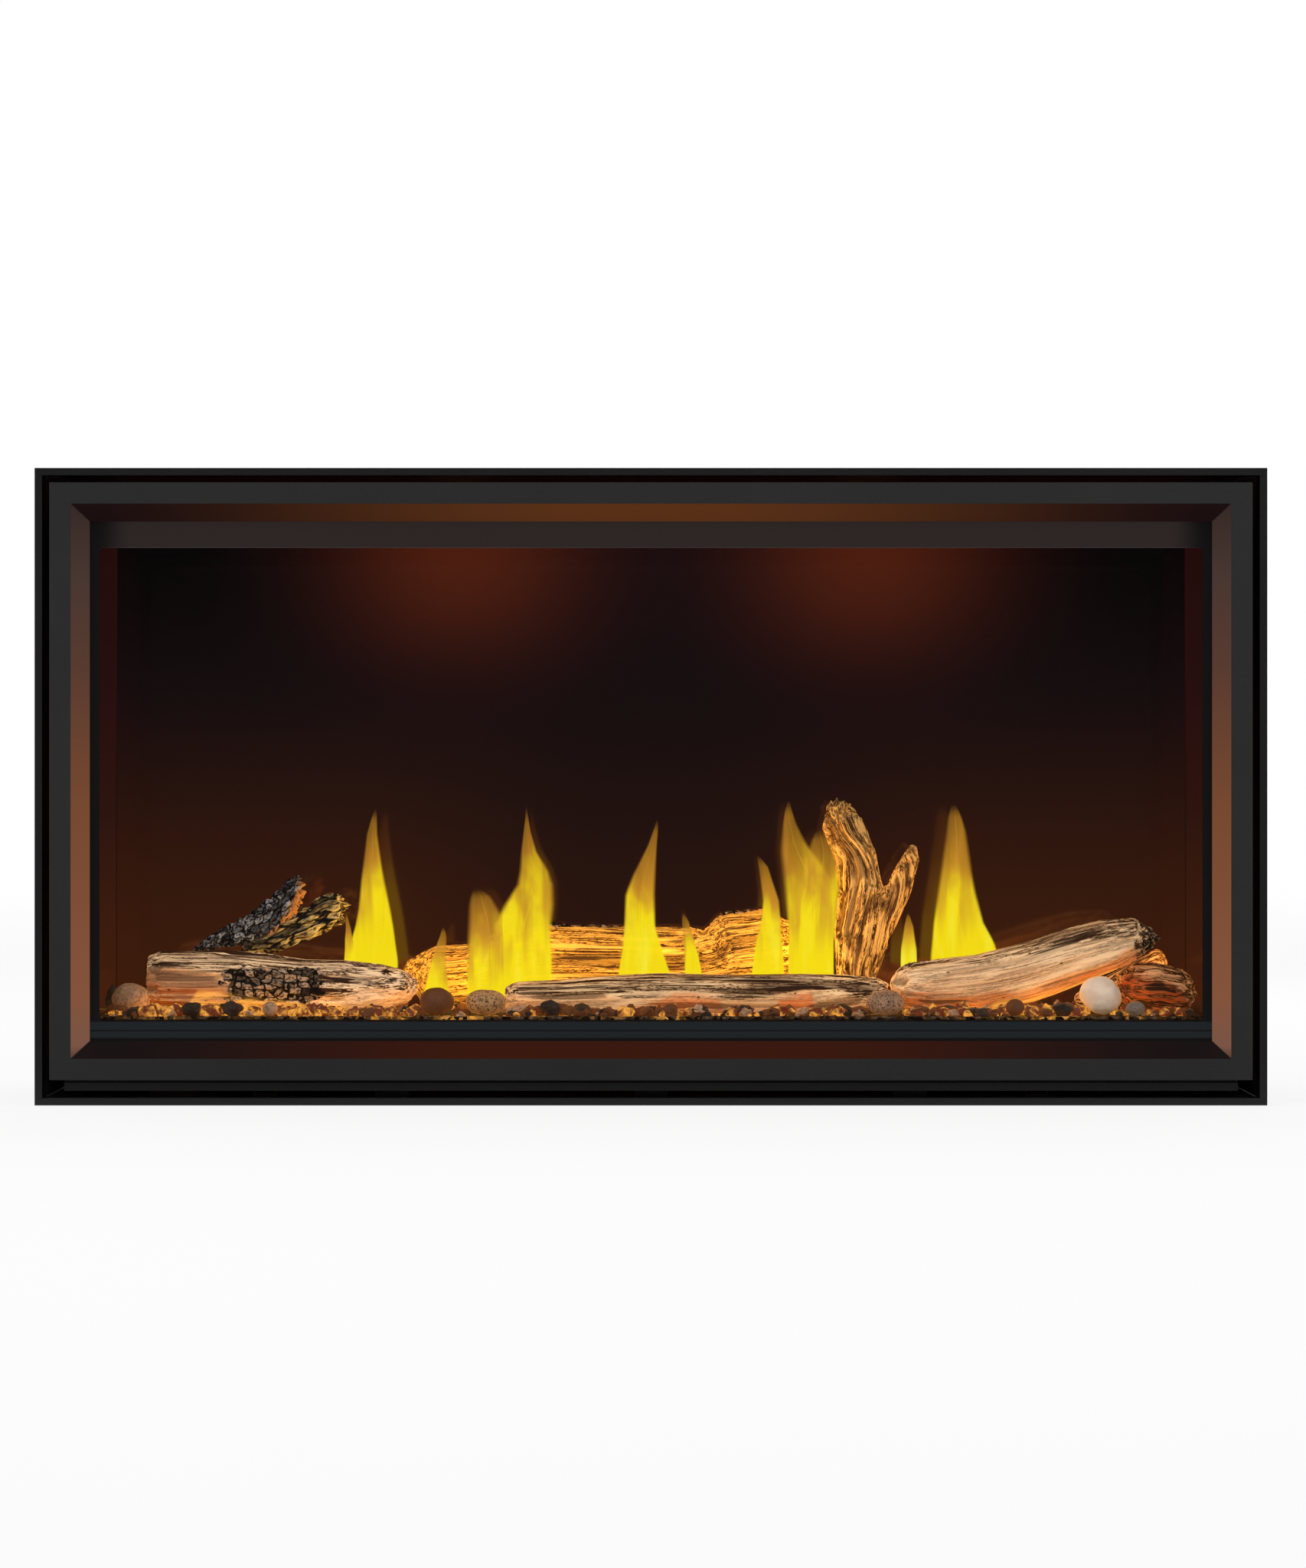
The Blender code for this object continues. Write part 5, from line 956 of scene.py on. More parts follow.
def add_bead(bm, start, end, outward, half_width, rise):
    """A pressed stiffening bead between two places on a sheet."""
    steps, facets = 10, 8
    start, end, outward = Vector(start), Vector(end), Vector(outward).normalized()
    along = (end - start).normalized()
    across = outward.cross(along)
    length_along = (end - start).length
    profile = [(math.cos(math.pi * k / facets), math.sin(math.pi * k / facets)) for k in range(facets + 1)]
    rings = []
    for i in range(steps + 1):
        t = i / steps
        at = start + along * (length_along * t)
        close = min(1.0, min(t, 1 - t) * length_along / half_width)
        swell = math.sqrt(max(0.0, 1 - (1 - close) ** 2))
        wide = half_width * (0.02 + 0.98 * swell)
        ring = [at + across * (wide * c) + outward * (rise * s * swell) for c, s in profile]
        rings.append([bm.verts.new(place) for place in ring])
    for face in bridged(bm, rings, closed=False):
        face.smooth = True


def stone_shape(bm, centre, radii, seed, rough, detail, turn=0.0):
    """A worn stone, from a sphere that is squashed and pitted by noise."""
    shift = Vector((seed * 1.7, seed * 0.9, seed * 2.3))
    c, s = math.cos(turn), math.sin(turn)
    for v in bmesh.ops.create_icosphere(bm, subdivisions=detail, radius=1.0)["verts"]:
        reach = 1 + rough * noise.noise(v.co * 1.3 + shift) + rough * 0.35 * noise.noise(v.co * 4.0 + shift)
        p = Vector((v.co.x * radii[0], v.co.y * radii[1], v.co.z * radii[2])) * reach
        v.co = Vector((p.x * c - p.y * s, p.x * s + p.y * c, p.z)) + Vector(centre)


def fine_surface(bm, grid):
    """The solid's surface remade with even faces of one size."""
    rough = bpy.data.objects.new("rough", mesh_from("rough", bm))
    bpy.context.scene.collection.objects.link(rough)
    remesh = rough.modifiers.new("remesh", "REMESH")
    remesh.mode = "VOXEL"
    remesh.voxel_size = grid
    soft = rough.modifiers.new("soft", "SMOOTH")
    soft.factor = 0.5
    soft.iterations = 6
    bpy.context.view_layer.update()
    made = bpy.data.meshes.new_from_object(rough.evaluated_get(bpy.context.evaluated_depsgraph_get()))
    bpy.data.objects.remove(rough)
    return made


def set_values(mesh, name, values, kind="FLOAT"):
    attribute = mesh.attributes.new(name, kind, "POINT")
    field = "value" if kind == "FLOAT" else "vector"
    attribute.data.foreach_set(field, np.asarray(values, np.float32).reshape(-1))


def mesh_arrays(mesh):
    points = np.zeros(len(mesh.vertices) * 3)
    normals = np.zeros(len(mesh.vertices) * 3)
    mesh.vertices.foreach_get("co", points)
    mesh.vertex_normals.foreach_get("vector", normals)
    return points.reshape(-1, 3), normals.reshape(-1, 3)


# The fire's light on what lies round it: places that give light, each with its strength

FIRE_POINTS = []
for flame_edges in FLAME_EDGES.values():
    for py, left_px, right_px in flame_edges[:-1:2]:
        source = at_pixel((left_px + right_px) / 2, py, FLAME_DEPTH)
        FIRE_POINTS.append((source.x, source.y, max(source.z, 0.118), (right_px - left_px) / 60.0))
EMBER_POINTS = (
    (-0.585, -0.135, 0.106, 0.7), (-0.52, -0.130, 0.105, 0.9), (-0.45, -0.140, 0.105, 1.3),
    (-0.38, -0.140, 0.104, 1.1), (-0.29, -0.140, 0.104, 0.8), (0.02, -0.125, 0.103, 0.3),
    (0.15, -0.125, 0.103, 0.5), (0.30, -0.100, 0.104, 0.5), (0.38, -0.120, 0.105, 0.7),
    (0.46, -0.120, 0.106, 1.2), (0.52, -0.115, 0.106, 1.2), (0.57, -0.110, 0.105, 0.9),
    (0.61, -0.06, 0.12, 0.6),
)


def warmth_at(points, normals):
    """How much of the fire's light falls on each point, by distance and by the way it faces."""
    total = np.zeros(len(points))
    for sources, wrap, strength, core in (
        (FIRE_POINTS, 0.25, 0.0022, 0.0016),
        (EMBER_POINTS, 0.20, 0.0010, 0.0006),
    ):
        for x, y, z, weight in sources:
            away = np.array((x, y, z)) - points
            distance = np.linalg.norm(away, axis=1) + 1e-6
            facing = np.clip((np.sum(normals * away, axis=1) / distance + wrap) / (1 + wrap), 0, 1)
            total += weight * facing * strength / (distance**2 + core)
    return total


def centre_line(points, axis):
    """The middle of a log in slices along an axis, as a function of the place along it."""
    slices = 24
    low, high = points[:, axis].min(), points[:, axis].max()
    at = np.linspace(low, high, slices)
    middles = []
    for a in at:
        near = np.abs(points[:, axis] - a) < (high - low) / slices
        middles.append(points[near].mean(0) if near.any() else points.mean(0))
    middles = np.array(middles)
    for _ in range(2):
        middles[1:-1] = (middles[:-2] + 2 * middles[1:-1] + middles[2:]) / 4
    return lambda where: np.stack([np.interp(where, at, middles[:, k]) for k in range(3)], axis=1)


# How softly each mark on a log starts below its line, in pixels
MARK_SOFTNESS = {"bare": 4.0, "fire_shade": 9.0, "glow": 7.0}


def carve_log(mesh, axis, relief, seed, char=None, blocks=0.0, ridges=0.0, fray=0.0, lines=None, swell=0.0):
    """Carves grain into a log, and writes what its material reads: the grain's way, char, hollows and light.

    char gives how burnt each point is. blocks sets how close the char's blocks stand along a branch that is
    burnt all over, ridges how deep the log's grooves are, fray how ragged its far end is, and lines where it
    is bare, where the fire's red shade is painted on it, or where it is hot.
    """
    points, normals = mesh_arrays(mesh)
    count = len(points)
    off = points - centre_line(points, axis)(points[:, axis])
    others = [k for k in range(3) if k != axis]
    grain = np.stack([points[:, axis] + seed * 3.1, off[:, others[0]] + seed, off[:, others[1]]], axis=1)
    burnt = np.zeros(count) if char is None else char(points)
    hollow, depth, ragged, stain = (np.zeros(count) for _ in range(4))
    for i, (a, b, c) in enumerate(grain):
        flute = noise.noise((a * 5, b * 130, c * 130))
        gape = noise.noise((a * 6 + 9, b * 75, c * 75))
        lump = noise.noise((a * 15 + 3, b * 26, c * 26))
        groove = noise.noise((a * 5 + 5, b * 165, c * 165))
        open_crack = min(1.0, max(0.0, (gape - 0.26) / 0.14))
        deep_groove = min(1.0, max(0.0, (groove - 0.04) / 0.22))
        waves = 0.40 * (0.5 + 0.5 * flute) + 0.45 * (0.5 + 0.5 * lump)
        depth[i] = waves + 0.70 * open_crack + ridges * deep_groove
        hollow[i] = max(0.7 * open_crack**3, 0.85 * min(ridges, 1.0) * deep_groove**3)
        stain[i] = 0.5 + 0.5 * lump
        ragged[i] = 0.5 + 0.5 * noise.noise((a * 3, b * 210 + 7, c * 210))
        if burnt[i] > 0.2 or blocks:
            place = (a * CHAR_BLOCKS[0] * (blocks or 1.0), b * CHAR_BLOCKS[1], c * CHAR_BLOCKS[2])
            near, _ = noise.voronoi(place, distance_metric="CHEBYCHEV")
            seam = max(0.0, 1 - (near[1] - near[0]) / 0.30)
            weight = 1.0 if blocks else burnt[i]
            depth[i] = depth[i] * (1 - 0.4 * weight) + seam * 1.2 * weight
            hollow[i] *= 1 - weight
    rest = np.clip((points[:, 2] - REST_Z) / 0.010, 0, 1)
    along = (points[:, axis] - points[:, axis].min()) / np.ptp(points[:, axis])
    points = points - normals * ((relief * depth - swell) * rest)[:, None]
    points[:, axis] -= fray * np.clip((along - 0.86) / 0.14, 0, 1) * ragged
    across_px, down_px = pixels_of(points)
    # The lines of the marks, the painted fire shade among them, wobble with the lump noise
    down_px = down_px + 22 * (stain - 0.5) + 6 * (ragged - 0.5)
    mesh.vertices.foreach_set("co", points.reshape(-1))
    mesh.update()
    set_values(mesh, "grain", grain, "FLOAT_VECTOR")
    set_values(mesh, "char", burnt)
    set_values(mesh, "hollow", np.clip(hollow, 0, 1) * 0.9)
    for mark, softness in MARK_SOFTNESS.items():
        line = (lines or {}).get(mark)
        below = np.zeros(count)
        if line:
            below = np.clip((down_px - np.interp(across_px, *zip(*line))) / softness, 0, 1)
        set_values(mesh, mark, below)
    set_values(mesh, "warmth", warmth_at(*mesh_arrays(mesh)))


# The pieces


class FIREPLACE_OT_stage(bpy.types.Operator):
    """Make the floor, the soft lights, the pale surroundings and the camera"""

    bl_idname = "fireplace.stage"
    bl_label = "Stage"

    AIM = Vector((0, 0, 0.35))
    LIGHT_SIZE = 2.4
    LIGHTS = {
        "key": ((-2.2, -3.0, 3.0), 34.0),
        "fill": ((2.6, -2.6, 1.6), 16.0),
        "back": ((0.5, 3.0, 2.6), 30.0),
    }
    ROOM_DARK = (0.012, 0.010, 0.010)

    def execute(self, context):
        scene = context.scene
        scene.view_settings.view_transform = "Standard"
        self.camera(scene)
        self.world(scene)
        self.floor(scene)
        for name, (place, power) in self.LIGHTS.items():
            light = bpy.data.lights.new(name, "AREA")
            light.shape = "DISK"
            light.size = self.LIGHT_SIZE
            light.energy = power
            lamp = bpy.data.objects.new(name, light)
            lamp.location = place
            lamp.rotation_euler = (self.AIM - Vector(place)).to_track_quat("-Z", "Y").to_euler()
            lamp.visible_glossy = False
            scene.collection.objects.link(lamp)
        return {"FINISHED"}

    def camera(self, scene):
        data = bpy.data.cameras.new("camera")
        data.sensor_width = SENSOR
        data.sensor_fit = "AUTO"
        data.lens = PX_PER_METRE * CAMERA_DISTANCE * SENSOR / PHOTO_SIZE[1]
        data.clip_end = 50
        camera = bpy.data.objects.new("camera", data)
        across = (PHOTO_SIZE[0] / 2 - RIM_CENTRE_PX[0]) / PX_PER_METRE
        above = (RIM_CENTRE_PX[1] - PHOTO_SIZE[1] / 2) / PX_PER_METRE
        camera.location = (across, RIM_Y - CAMERA_DISTANCE, RIM_CENTRE_Z + above)
        camera.rotation_euler = (math.radians(90), 0, 0)
        scene.collection.objects.link(camera)
        scene.camera = camera

    def world(self, scene):
        """White where it is seen. Glossy rays that leave towards the front meet the dark of the room."""
        world = bpy.data.worlds.new("surroundings")
        world.use_nodes = True
        w = Wiring(world.node_tree)
        shade = world.node_tree.nodes["Background"].inputs
        path = w.add("LightPath").outputs
        way = w.split(w.place("Generated"))
        soft = w.mixed((0.42, 0.42, 0.42), (0.75, 0.75, 0.75), w.between(way[2], -0.2, 0.9))
        glossy = w.mixed(self.ROOM_DARK, (1, 1, 1), w.between(way[1], -0.25, 0.15))
        seen = w.most(path["Is Camera Ray"], path["Is Transmission Ray"])
        w.feed(shade["Color"], w.mixed(w.mixed(soft, glossy, path["Is Glossy Ray"]), (1, 1, 1), seen))
        w.feed(shade["Strength"], 1.0)
        scene.world = world

    def floor(self, scene):
        """A pale floor that keeps the shadow and meets the surroundings without a line."""
        bm = bmesh.new()
        bmesh.ops.create_grid(bm, x_segments=1, y_segments=1, size=40)
        mesh = mesh_from("floor", bm)
        floor = bpy.data.objects.new("floor", mesh)
        scene.collection.objects.link(floor)
        material, w, matt = new_material(
            "pale_floor", Base_Color=(0.93, 0.93, 0.93), Roughness=1.0, Specular_IOR_Level=0.0
        )
        nodes = w.tree.nodes
        path = w.add("LightPath").outputs
        away = w.split(w.place())[1]
        share = w.between(away, 1.0, 14.0, 0.82, 1.0)
        seen = w.times(w.most(path["Is Camera Ray"], path["Is Transmission Ray"]), share)
        unlit = w.times(path["Is Glossy Ray"], w.between(away, -0.60, -0.20, 1.0, 0.0))
        surface = nodes["Principled BSDF"].outputs[0]
        for shown, mask in ((self.ROOM_DARK, unlit), ((1, 1, 1), seen)):
            light = w.add("Emission", {"Color": shown, "Strength": 1.0}).outputs[0]
            surface = w.add("MixShader", {0: mask, 1: surface, 2: light}).outputs[0]
        w.feed(nodes["Material Output"].inputs["Surface"], surface)
        mesh.materials.append(material)


class FIREPLACE_OT_casing(bpy.types.Operator):
    """Dress the galvanised casing and the vent collars, with beads, screws and rounded edges"""

    bl_idname = "fireplace.casing"
    bl_label = "Casing and vent"

    INSET = 0.010
    LID_Z = 0.7296

    def execute(self, context):
        inset = self.INSET
        for node in ("casing_left_side", "casing_right_side"):
            sign = -1 if "left" in node else 1
            lo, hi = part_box(node)
            x = lo.x if sign < 0 else hi.x
            beads = [((x, lo.y + 0.07, z), (x, hi.y - 0.06, z)) for z in (0.16, 0.33, 0.50, 0.66)]
            screws = [(x, hi.y - 0.012, z) for z in (0.04, 0.20, 0.37, 0.54, 0.70)]
            screws += [(x, y, z) for y in (-0.17, -0.05, 0.08) for z in (hi.z - inset, lo.z + inset)]
            self.sheet(f"{node}_sheet", node, (sign, 0, 0), beads, 0.008, 0.0018, screws)
        lo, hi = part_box("casing_back")
        spans = [(-0.60, 0.60, z) for z in (0.10, 0.24)]
        spans += [(sign * 0.22, sign * 0.60, z) for z in (0.39, 0.56) for sign in (-1, 1)]
        beads = [((start, hi.y, z), (end, hi.y, z)) for start, end, z in spans]
        screws = [(x, hi.y, z) for x in np.linspace(-0.66, 0.66, 8) for z in (lo.z + inset, hi.z - inset)]
        screws += [(x, hi.y, z) for z in (0.13, 0.27, 0.42, 0.58) for x in (lo.x + inset, hi.x - inset)]
        self.sheet("casing_back_sheet", "casing_back", (0, 1, 0), beads, 0.009, 0.0025, screws)
        lo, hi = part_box("casing_top")
        beads = [((x, -0.16, self.LID_Z), (x, 0.13, self.LID_Z)) for x in (-0.60, -0.30, 0.30, 0.60)]
        edges = (lo.y + 0.012, hi.y - inset)
        screws = [(x, y, self.LID_Z) for x in np.linspace(-0.67, 0.67, 9) for y in edges]
        self.sheet("casing_lid_sheet", "casing_top", (0, 0, 1), beads, 0.009, 0.0020, screws)
        dressed("casing_base_sheet", "base_pan", zinc(), "galvanised")
        for node in ("intake_collar", "exhaust_collar"):
            piece_from(f"{node}_sheet", solid_copy(node), zinc(), "casing", "galvanised", node, smooth=40)
        return {"FINISHED"}

    def sheet(self, name, node, outward, beads, half_width, rise, screws):
        bm = solid_copy(node)
        rounded(bm, sizes().edge_rounding)
        for start, end in beads:
            add_bead(bm, start, end, outward, half_width, rise)
        for place in screws:
            add_screw(bm, place, outward, sizes().screw_head)
        piece_from(name, bm, zinc(), "casing", "galvanised", node)


class FIREPLACE_OT_trim(bpy.types.Operator):
    """Dress the four bars of the wall trim"""

    bl_idname = "fireplace.trim"
    bl_label = "Wall trim"

    # How far each end of a side bar reaches into its joint
    CLOSE = 0.00028

    def execute(self, context):
        coat = powder_coat("rim_coat", "rim_black", 0.36)
        for node in ("trim_top", "trim_bottom", "trim_left", "trim_right"):
            bar = dressed(f"{node}_bar", node, coat, "satin_black", 0.0005)
            if node in ("trim_left", "trim_right"):
                lo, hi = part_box(node)
                for v in bar.data.vertices:
                    v.co.z += self.CLOSE * ((v.co.z > hi.z - 0.001) - (v.co.z < lo.z + 0.001))
        return {"FINISHED"}


class FIREPLACE_OT_bezel(bpy.types.Operator):
    """Dress the removable bezel, with the fire's light on its slopes"""

    bl_idname = "fireplace.bezel"
    bl_label = "Bezel"

    def execute(self, context):
        dressed("bezel_frame", "bezel", bezel_coat(), "satin_black", 0.0006)
        return {"FINISHED"}


class FIREPLACE_OT_rail(bpy.types.Operator):
    """Dress the lower rail"""

    bl_idname = "fireplace.rail"
    bl_label = "Lower rail"

    def execute(self, context):
        coat = powder_coat("rail_coat", "rim_black", 0.42)
        dressed("lower_rail_bar", "lower_rail", coat, "satin_black", 0.0005)
        return {"FINISHED"}


class FIREPLACE_OT_door(bpy.types.Operator):
    """Dress the glass door: frame, ceramic glass and gasket rope"""

    bl_idname = "fireplace.door"
    bl_label = "Glass door"

    def execute(self, context):
        dressed("door_frame_sheet", "door_frame", door_coat(), "satin_black")
        dressed("door_glass_pane", "door_glass", clear_glass(), "ceramic_glass", 0.0006)
        dressed("door_gasket_rope", "door_gasket", rope(), "gasket_rope", 0.0025)
        return {"FINISHED"}


class FIREPLACE_OT_firebox(bpy.types.Operator):
    """Dress the firebox: walls, face, floor, roof, reflective panels, burner tray, lamps and relief flap"""

    bl_idname = "fireplace.firebox"
    bl_label = "Firebox"

    def execute(self, context):
        walls = ("firebox_back_wall", "firebox_left_wall", "firebox_right_wall")
        recoat(firebox_coat(), *walls, "firebox_floor", "firebox_roof", "relief_flap")
        dressed("firebox_face_sheet", "firebox_face", firebox_coat(), "firebox_black")
        for node in ("back_panel", "left_panel", "right_panel"):
            dressed(f"{node}_enamel", node, panel_enamel(), "porcelain", 0.0005)
        burner_steel = turned_metal("burner_steel", (0.30, 0.29, 0.28), (0.12, 0.09, 0.07), 0.45)
        recoat(burner_steel, "burner_tray", "burner_pan")
        lamp_steel = turned_metal("lamp_steel", (0.55, 0.55, 0.55), (0.30, 0.28, 0.26), 0.35)
        recoat(lamp_steel, "lamp_left", "lamp_right")
        recoat(lamp_lens(), "lamp_lens_left", "lamp_lens_right")
        return {"FINISHED"}


class FIREPLACE_OT_controls(bpy.types.Operator):
    """Dress the latches, the gas train, the pilot and the control module under the firebox"""

    bl_idname = "fireplace.controls"
    bl_label = "Latches and controls"

    def execute(self, context):
        steel = turned_metal("bare_steel", (0.50, 0.50, 0.51), (0.28, 0.26, 0.24), 0.38)
        for side in ("left", "right"):
            recoat(steel, f"latch_{side}", f"latch_bracket_{side}", f"latch_spring_{side}")
        recoat(steel, "mixing_tube", "gas_manifold", "pilot_assembly", "air_shutter")
        brass = turned_metal("brass", (0.72, 0.52, 0.22), (0.38, 0.24, 0.10), 0.30)
        recoat(brass, "gas_orifice", "shutoff_valve")
        recoat(turned_metal("cast_aluminium", (0.60, 0.60, 0.62), (0.40, 0.40, 0.41), 0.50), "gas_valve")
        recoat(turned_metal("black_pipe", (0.10, 0.10, 0.10), (0.05, 0.045, 0.04), 0.50), "gas_inlet_pipe")
        black_plastic = moulded("black_plastic", (0.018, 0.018, 0.020))
        recoat(black_plastic, "control_module", "flame_height_knob", "mode_switch")
        recoat(moulded("red_plastic", (0.42, 0.020, 0.014)), "shutoff_lever")
        return {"FINISHED"}


class FIREPLACE_OT_logs(bpy.types.Operator):
    """Carve the driftwood logs and the charred branches"""

    bl_idname = "fireplace.logs"
    bl_label = "Log set"

    # Node, way along, grain bands, cracks, colour, colour of the painted fire shade, seed, relief, ridges,
    # frayed end
    LOGS = (
        ("log_front_left", 0, 0.42, 1.00, (1.10, 1.06, 1.00), (0.26, 0.092, 0.026), 1, 1.1, 0.15, 0.005),
        ("log_front_centre", 0, 0.55, 1.00, (1.12, 1.04, 0.88), (0.92, 0.40, 0.190), 2, 1.1, 0.25, 0.006),
        ("log_rear_centre", 0, 0.34, 0.36, (1.04, 0.80, 0.24), (0.50, 0.200, 0.080), 3, 1.2, 0.30, 0.006),
        ("log_leaning", 0, 0.62, 0.95, (1.00, 0.95, 0.86), (0.72, 0.320, 0.140), 4, 1.1, 0.30, 0.010),
        ("log_stub", 0, 0.95, 1.00, (0.84, 0.60, 0.44), (0.56, 0.220, 0.100), 5, 1.3, 0.80, 0.006),
        ("log_fork", 2, 0.46, 0.62, (0.66, 0.56, 0.30), (0.42, 0.180, 0.070), 6, 1.3, 1.10, 0.020),
    )
    LOG_SWELL = 0.0015

    # Lines by pixels, below which a log is bare and smooth, painted in the fire's red shade, or hot
    LINES = {
        "log_front_left": {
            "bare": ((190, 1262), (282, 1272), (330, 1290), (440, 1300), (560, 1290)),
            "fire_shade": ((190, 1262), (282, 1276), (322, 1301), (430, 1314), (560, 1345)),
            "glow": (
                (190, 1345), (236, 1325), (258, 1291), (330, 1299), (392, 1311), (440, 1325), (470, 1345),
            ),
        },
        "log_front_centre": {
            "bare": ((660, 1296), (740, 1304), (880, 1297), (960, 1302), (1060, 1296), (1137, 1310)),
            "fire_shade": (
                (660, 1326), (740, 1345), (790, 1322), (850, 1306), (880, 1298), (940, 1302), (960, 1345),
                (1000, 1345), (1018, 1304), (1060, 1298), (1072, 1345), (1137, 1345),
            ),
        },
        "log_leaning": {
            "bare": ((1164, 1276), (1200, 1262), (1330, 1247), (1440, 1222), (1480, 1222), (1500, 1330)),
            "fire_shade": ((1164, 1292), (1230, 1296), (1330, 1290), (1400, 1268), (1470, 1240), (1520, 1225)),
            "glow": ((1260, 1345), (1300, 1304), (1360, 1288), (1440, 1262), (1476, 1262), (1480, 1345)),
        },
        "log_stub": {"fire_shade": ((1454, 1300), (1470, 1268), (1530, 1276), (1562, 1310))},
        "branch_charred": {
            "fire_shade": ((250, 1300), (300, 1240), (340, 1226), (368, 1194), (384, 1164), (396, 1138)),
        },
    }

    # Places by pixels across and down and by how far behind the rim they lie: both ends of the front left log's
    # charred patch, where the leaning log is broken, and both ends of the twig
    PATCH = ((282, 1290, 0.13), (432, 1290, 0.13))
    BROKEN = (1478, 1200, 0.15)
    TWIG = ((1405, 1306, 0.245), (1521, 1250, 0.205))

    # The line by pixels above which the rear log is charred
    CREST_PX = (
        (526, 1190), (600, 1222), (720, 1212), (800, 1212), (860, 1206), (905, 1214), (920, 1200),
        (990, 1190), (1020, 1150),
    )

    def patch(self, points):
        x, z = points[:, 0], points[:, 2]
        left, right = (at_pixel(*end).x for end in self.PATCH)
        inside = np.clip((x - left + 0.01) / 0.03, 0, 1) * np.clip((right - x + 0.01) / 0.03, 0, 1)
        return inside * np.clip((z - 0.104) / 0.016, 0, 1) * np.clip((0.162 - z) / 0.010, 0, 1) * 0.70

    def broken(self, points):
        return np.clip((points[:, 0] - at_pixel(*self.BROKEN).x) / 0.03, 0, 0.50)

    def crest(self, points):
        across, down = pixels_of(points)
        return np.clip((np.interp(across, *zip(*self.CREST_PX)) - down) / 4.0, 0, 0.60)

    def execute(self, context):
        grid, relief = sizes().log_grid, sizes().log_relief
        chars = {"log_front_left": self.patch, "log_leaning": self.broken, "log_rear_centre": self.crest}
        for node, axis, bands, cracks, shift, fire_shade_tint, seed, deep, ridges, fray in self.LOGS:
            mesh = fine_surface(solid_copy(node), grid)
            carve_log(
                mesh, axis, relief * deep, seed, char=chars.get(node), ridges=ridges, fray=fray,
                lines=self.LINES.get(node), swell=self.LOG_SWELL,
            )
            wood = driftwood(f"wood_{node[4:]}", bands, cracks, shift, fire_shade_tint)
            piece_of(f"{node}_wood", mesh, wood, "casing", "pale_log", node, smooth=180)
        for node, seed, swell, top, blocks, strength in (
            ("branch_charred", 8, 0.0020, tuple(finishes().char_grey), 1.0, 0.8),
            ("branch_bark", 9, 0.0045, (0.52, 0.37, 0.14), 0.35, 1.5),
        ):
            mesh = fine_surface(solid_copy(node), grid * 0.85)
            lines = self.LINES.get(node)
            carve_log(mesh, 0, relief * 1.5, seed, blocks=blocks, fray=0.018, lines=lines, swell=swell)
            bark = charred(f"char_{node}", top, blocks, strength)
            piece_of(f"{node}_wood", mesh, bark, "casing", "charred_log", node, smooth=180)
        self.twig()
        return {"FINISHED"}

    def twig(self):
        """The slim log behind, whose broken end glows at the right."""
        steps, sides = 24, 20
        low, high = (at_pixel(*end) for end in self.TWIG)
        low.z = REST_Z + 0.010
        along = (high - low).normalized()
        side = along.cross(Vector((0, 0, 1))).normalized()
        other = side.cross(along)
        bm = bmesh.new()
        rings = []
        for i in range(steps + 1):
            t = i / steps
            radius = 0.0095 + 0.0045 * t if 0 < i < steps else 0.006 + 0.004 * t
            ring = []
            for a in (2 * math.pi * k / sides for k in range(sides)):
                out = (side * math.cos(a) + other * math.sin(a)) * radius
                bulge = 1 + 0.12 * noise.noise((t * 9, a * 1.4, 4.0))
                ring.append(bm.verts.new(low.lerp(high, t) + out * bulge))
            rings.append(ring)
        bridged(bm, rings)
        bm.faces.new(rings[0])
        bm.faces.new(rings[-1])
        bmesh.ops.recalc_face_normals(bm, faces=bm.faces)
        mesh = fine_surface(bm, sizes().log_grid)
        carve_log(mesh, 0, 0.0015, 11)
        points, _ = mesh_arrays(mesh)
        heat = np.clip((points @ np.array(along) - low.dot(along)) / (high - low).length - 0.72, 0, 1) * 7
        light = np.zeros(len(points))
        warmth = mesh.attributes["warmth"].data
        warmth.foreach_get("value", light)
        warmth.foreach_set("value", (light + heat).astype(np.float32))
        wood = driftwood("wood_twig", 0.8, 0.8, (0.9, 0.7, 0.55), (0.42, 0.18, 0.07))
        piece_of("log_twig_wood", mesh, wood, "casing", "pale_log", smooth=180)


class FIREPLACE_OT_stones(bpy.types.Operator):
    """Make the pearl pebble, the river stones and the charcoal lumps along the glass"""

    bl_idname = "fireplace.stones"
    bl_label = "Stones"

    def execute(self, context):
        lo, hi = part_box("pebble_white")
        bm = bmesh.new()
        stone_shape(bm, (lo + hi) / 2, (hi - lo) / 2, 3.0, 0.16, 4)
        for v in bm.verts:
            t = (2 * v.co.z - lo.z - hi.z) / (hi.z - lo.z)
            v.co.x += (v.co.x - (lo.x + hi.x) / 2) * 0.14 * t - 0.0030 * t
        self.lay(bm, "pebble_white_stone", "pearl_stone", "pearl_stone", "pebble_white")
        for seed, (name, ((left, right, top, bottom), depth, kind)) in enumerate(STONES_PX.items()):
            a, b = at_pixel(left, top, depth), at_pixel(right, bottom, depth)
            half_z = max((a.z - BED_TOP_Z) / 2, 0.006)
            half_x = (b.x - a.x) / 2
            rough, detail = (0.40, 3) if kind == "charcoal" else (0.07, 4)
            centre = ((a.x + b.x) / 2, a.y, BED_TOP_Z + half_z)
            bm = bmesh.new()
            stone_shape(bm, centre, (half_x, half_x * 0.85, half_z), seed + 1.0, rough, detail)
            self.lay(bm, name, kind, "ember_gravel")
        return {"FINISHED"}

    def lay(self, bm, name, kind, slot, *nodes):
        """A stone whose foot is cut off flat just under the bed's top."""
        for v in bm.verts:
            v.co.z = max(v.co.z, BED_TOP_Z - 0.0005)
        warm_piece(name, bm, stone(kind), slot, *nodes)


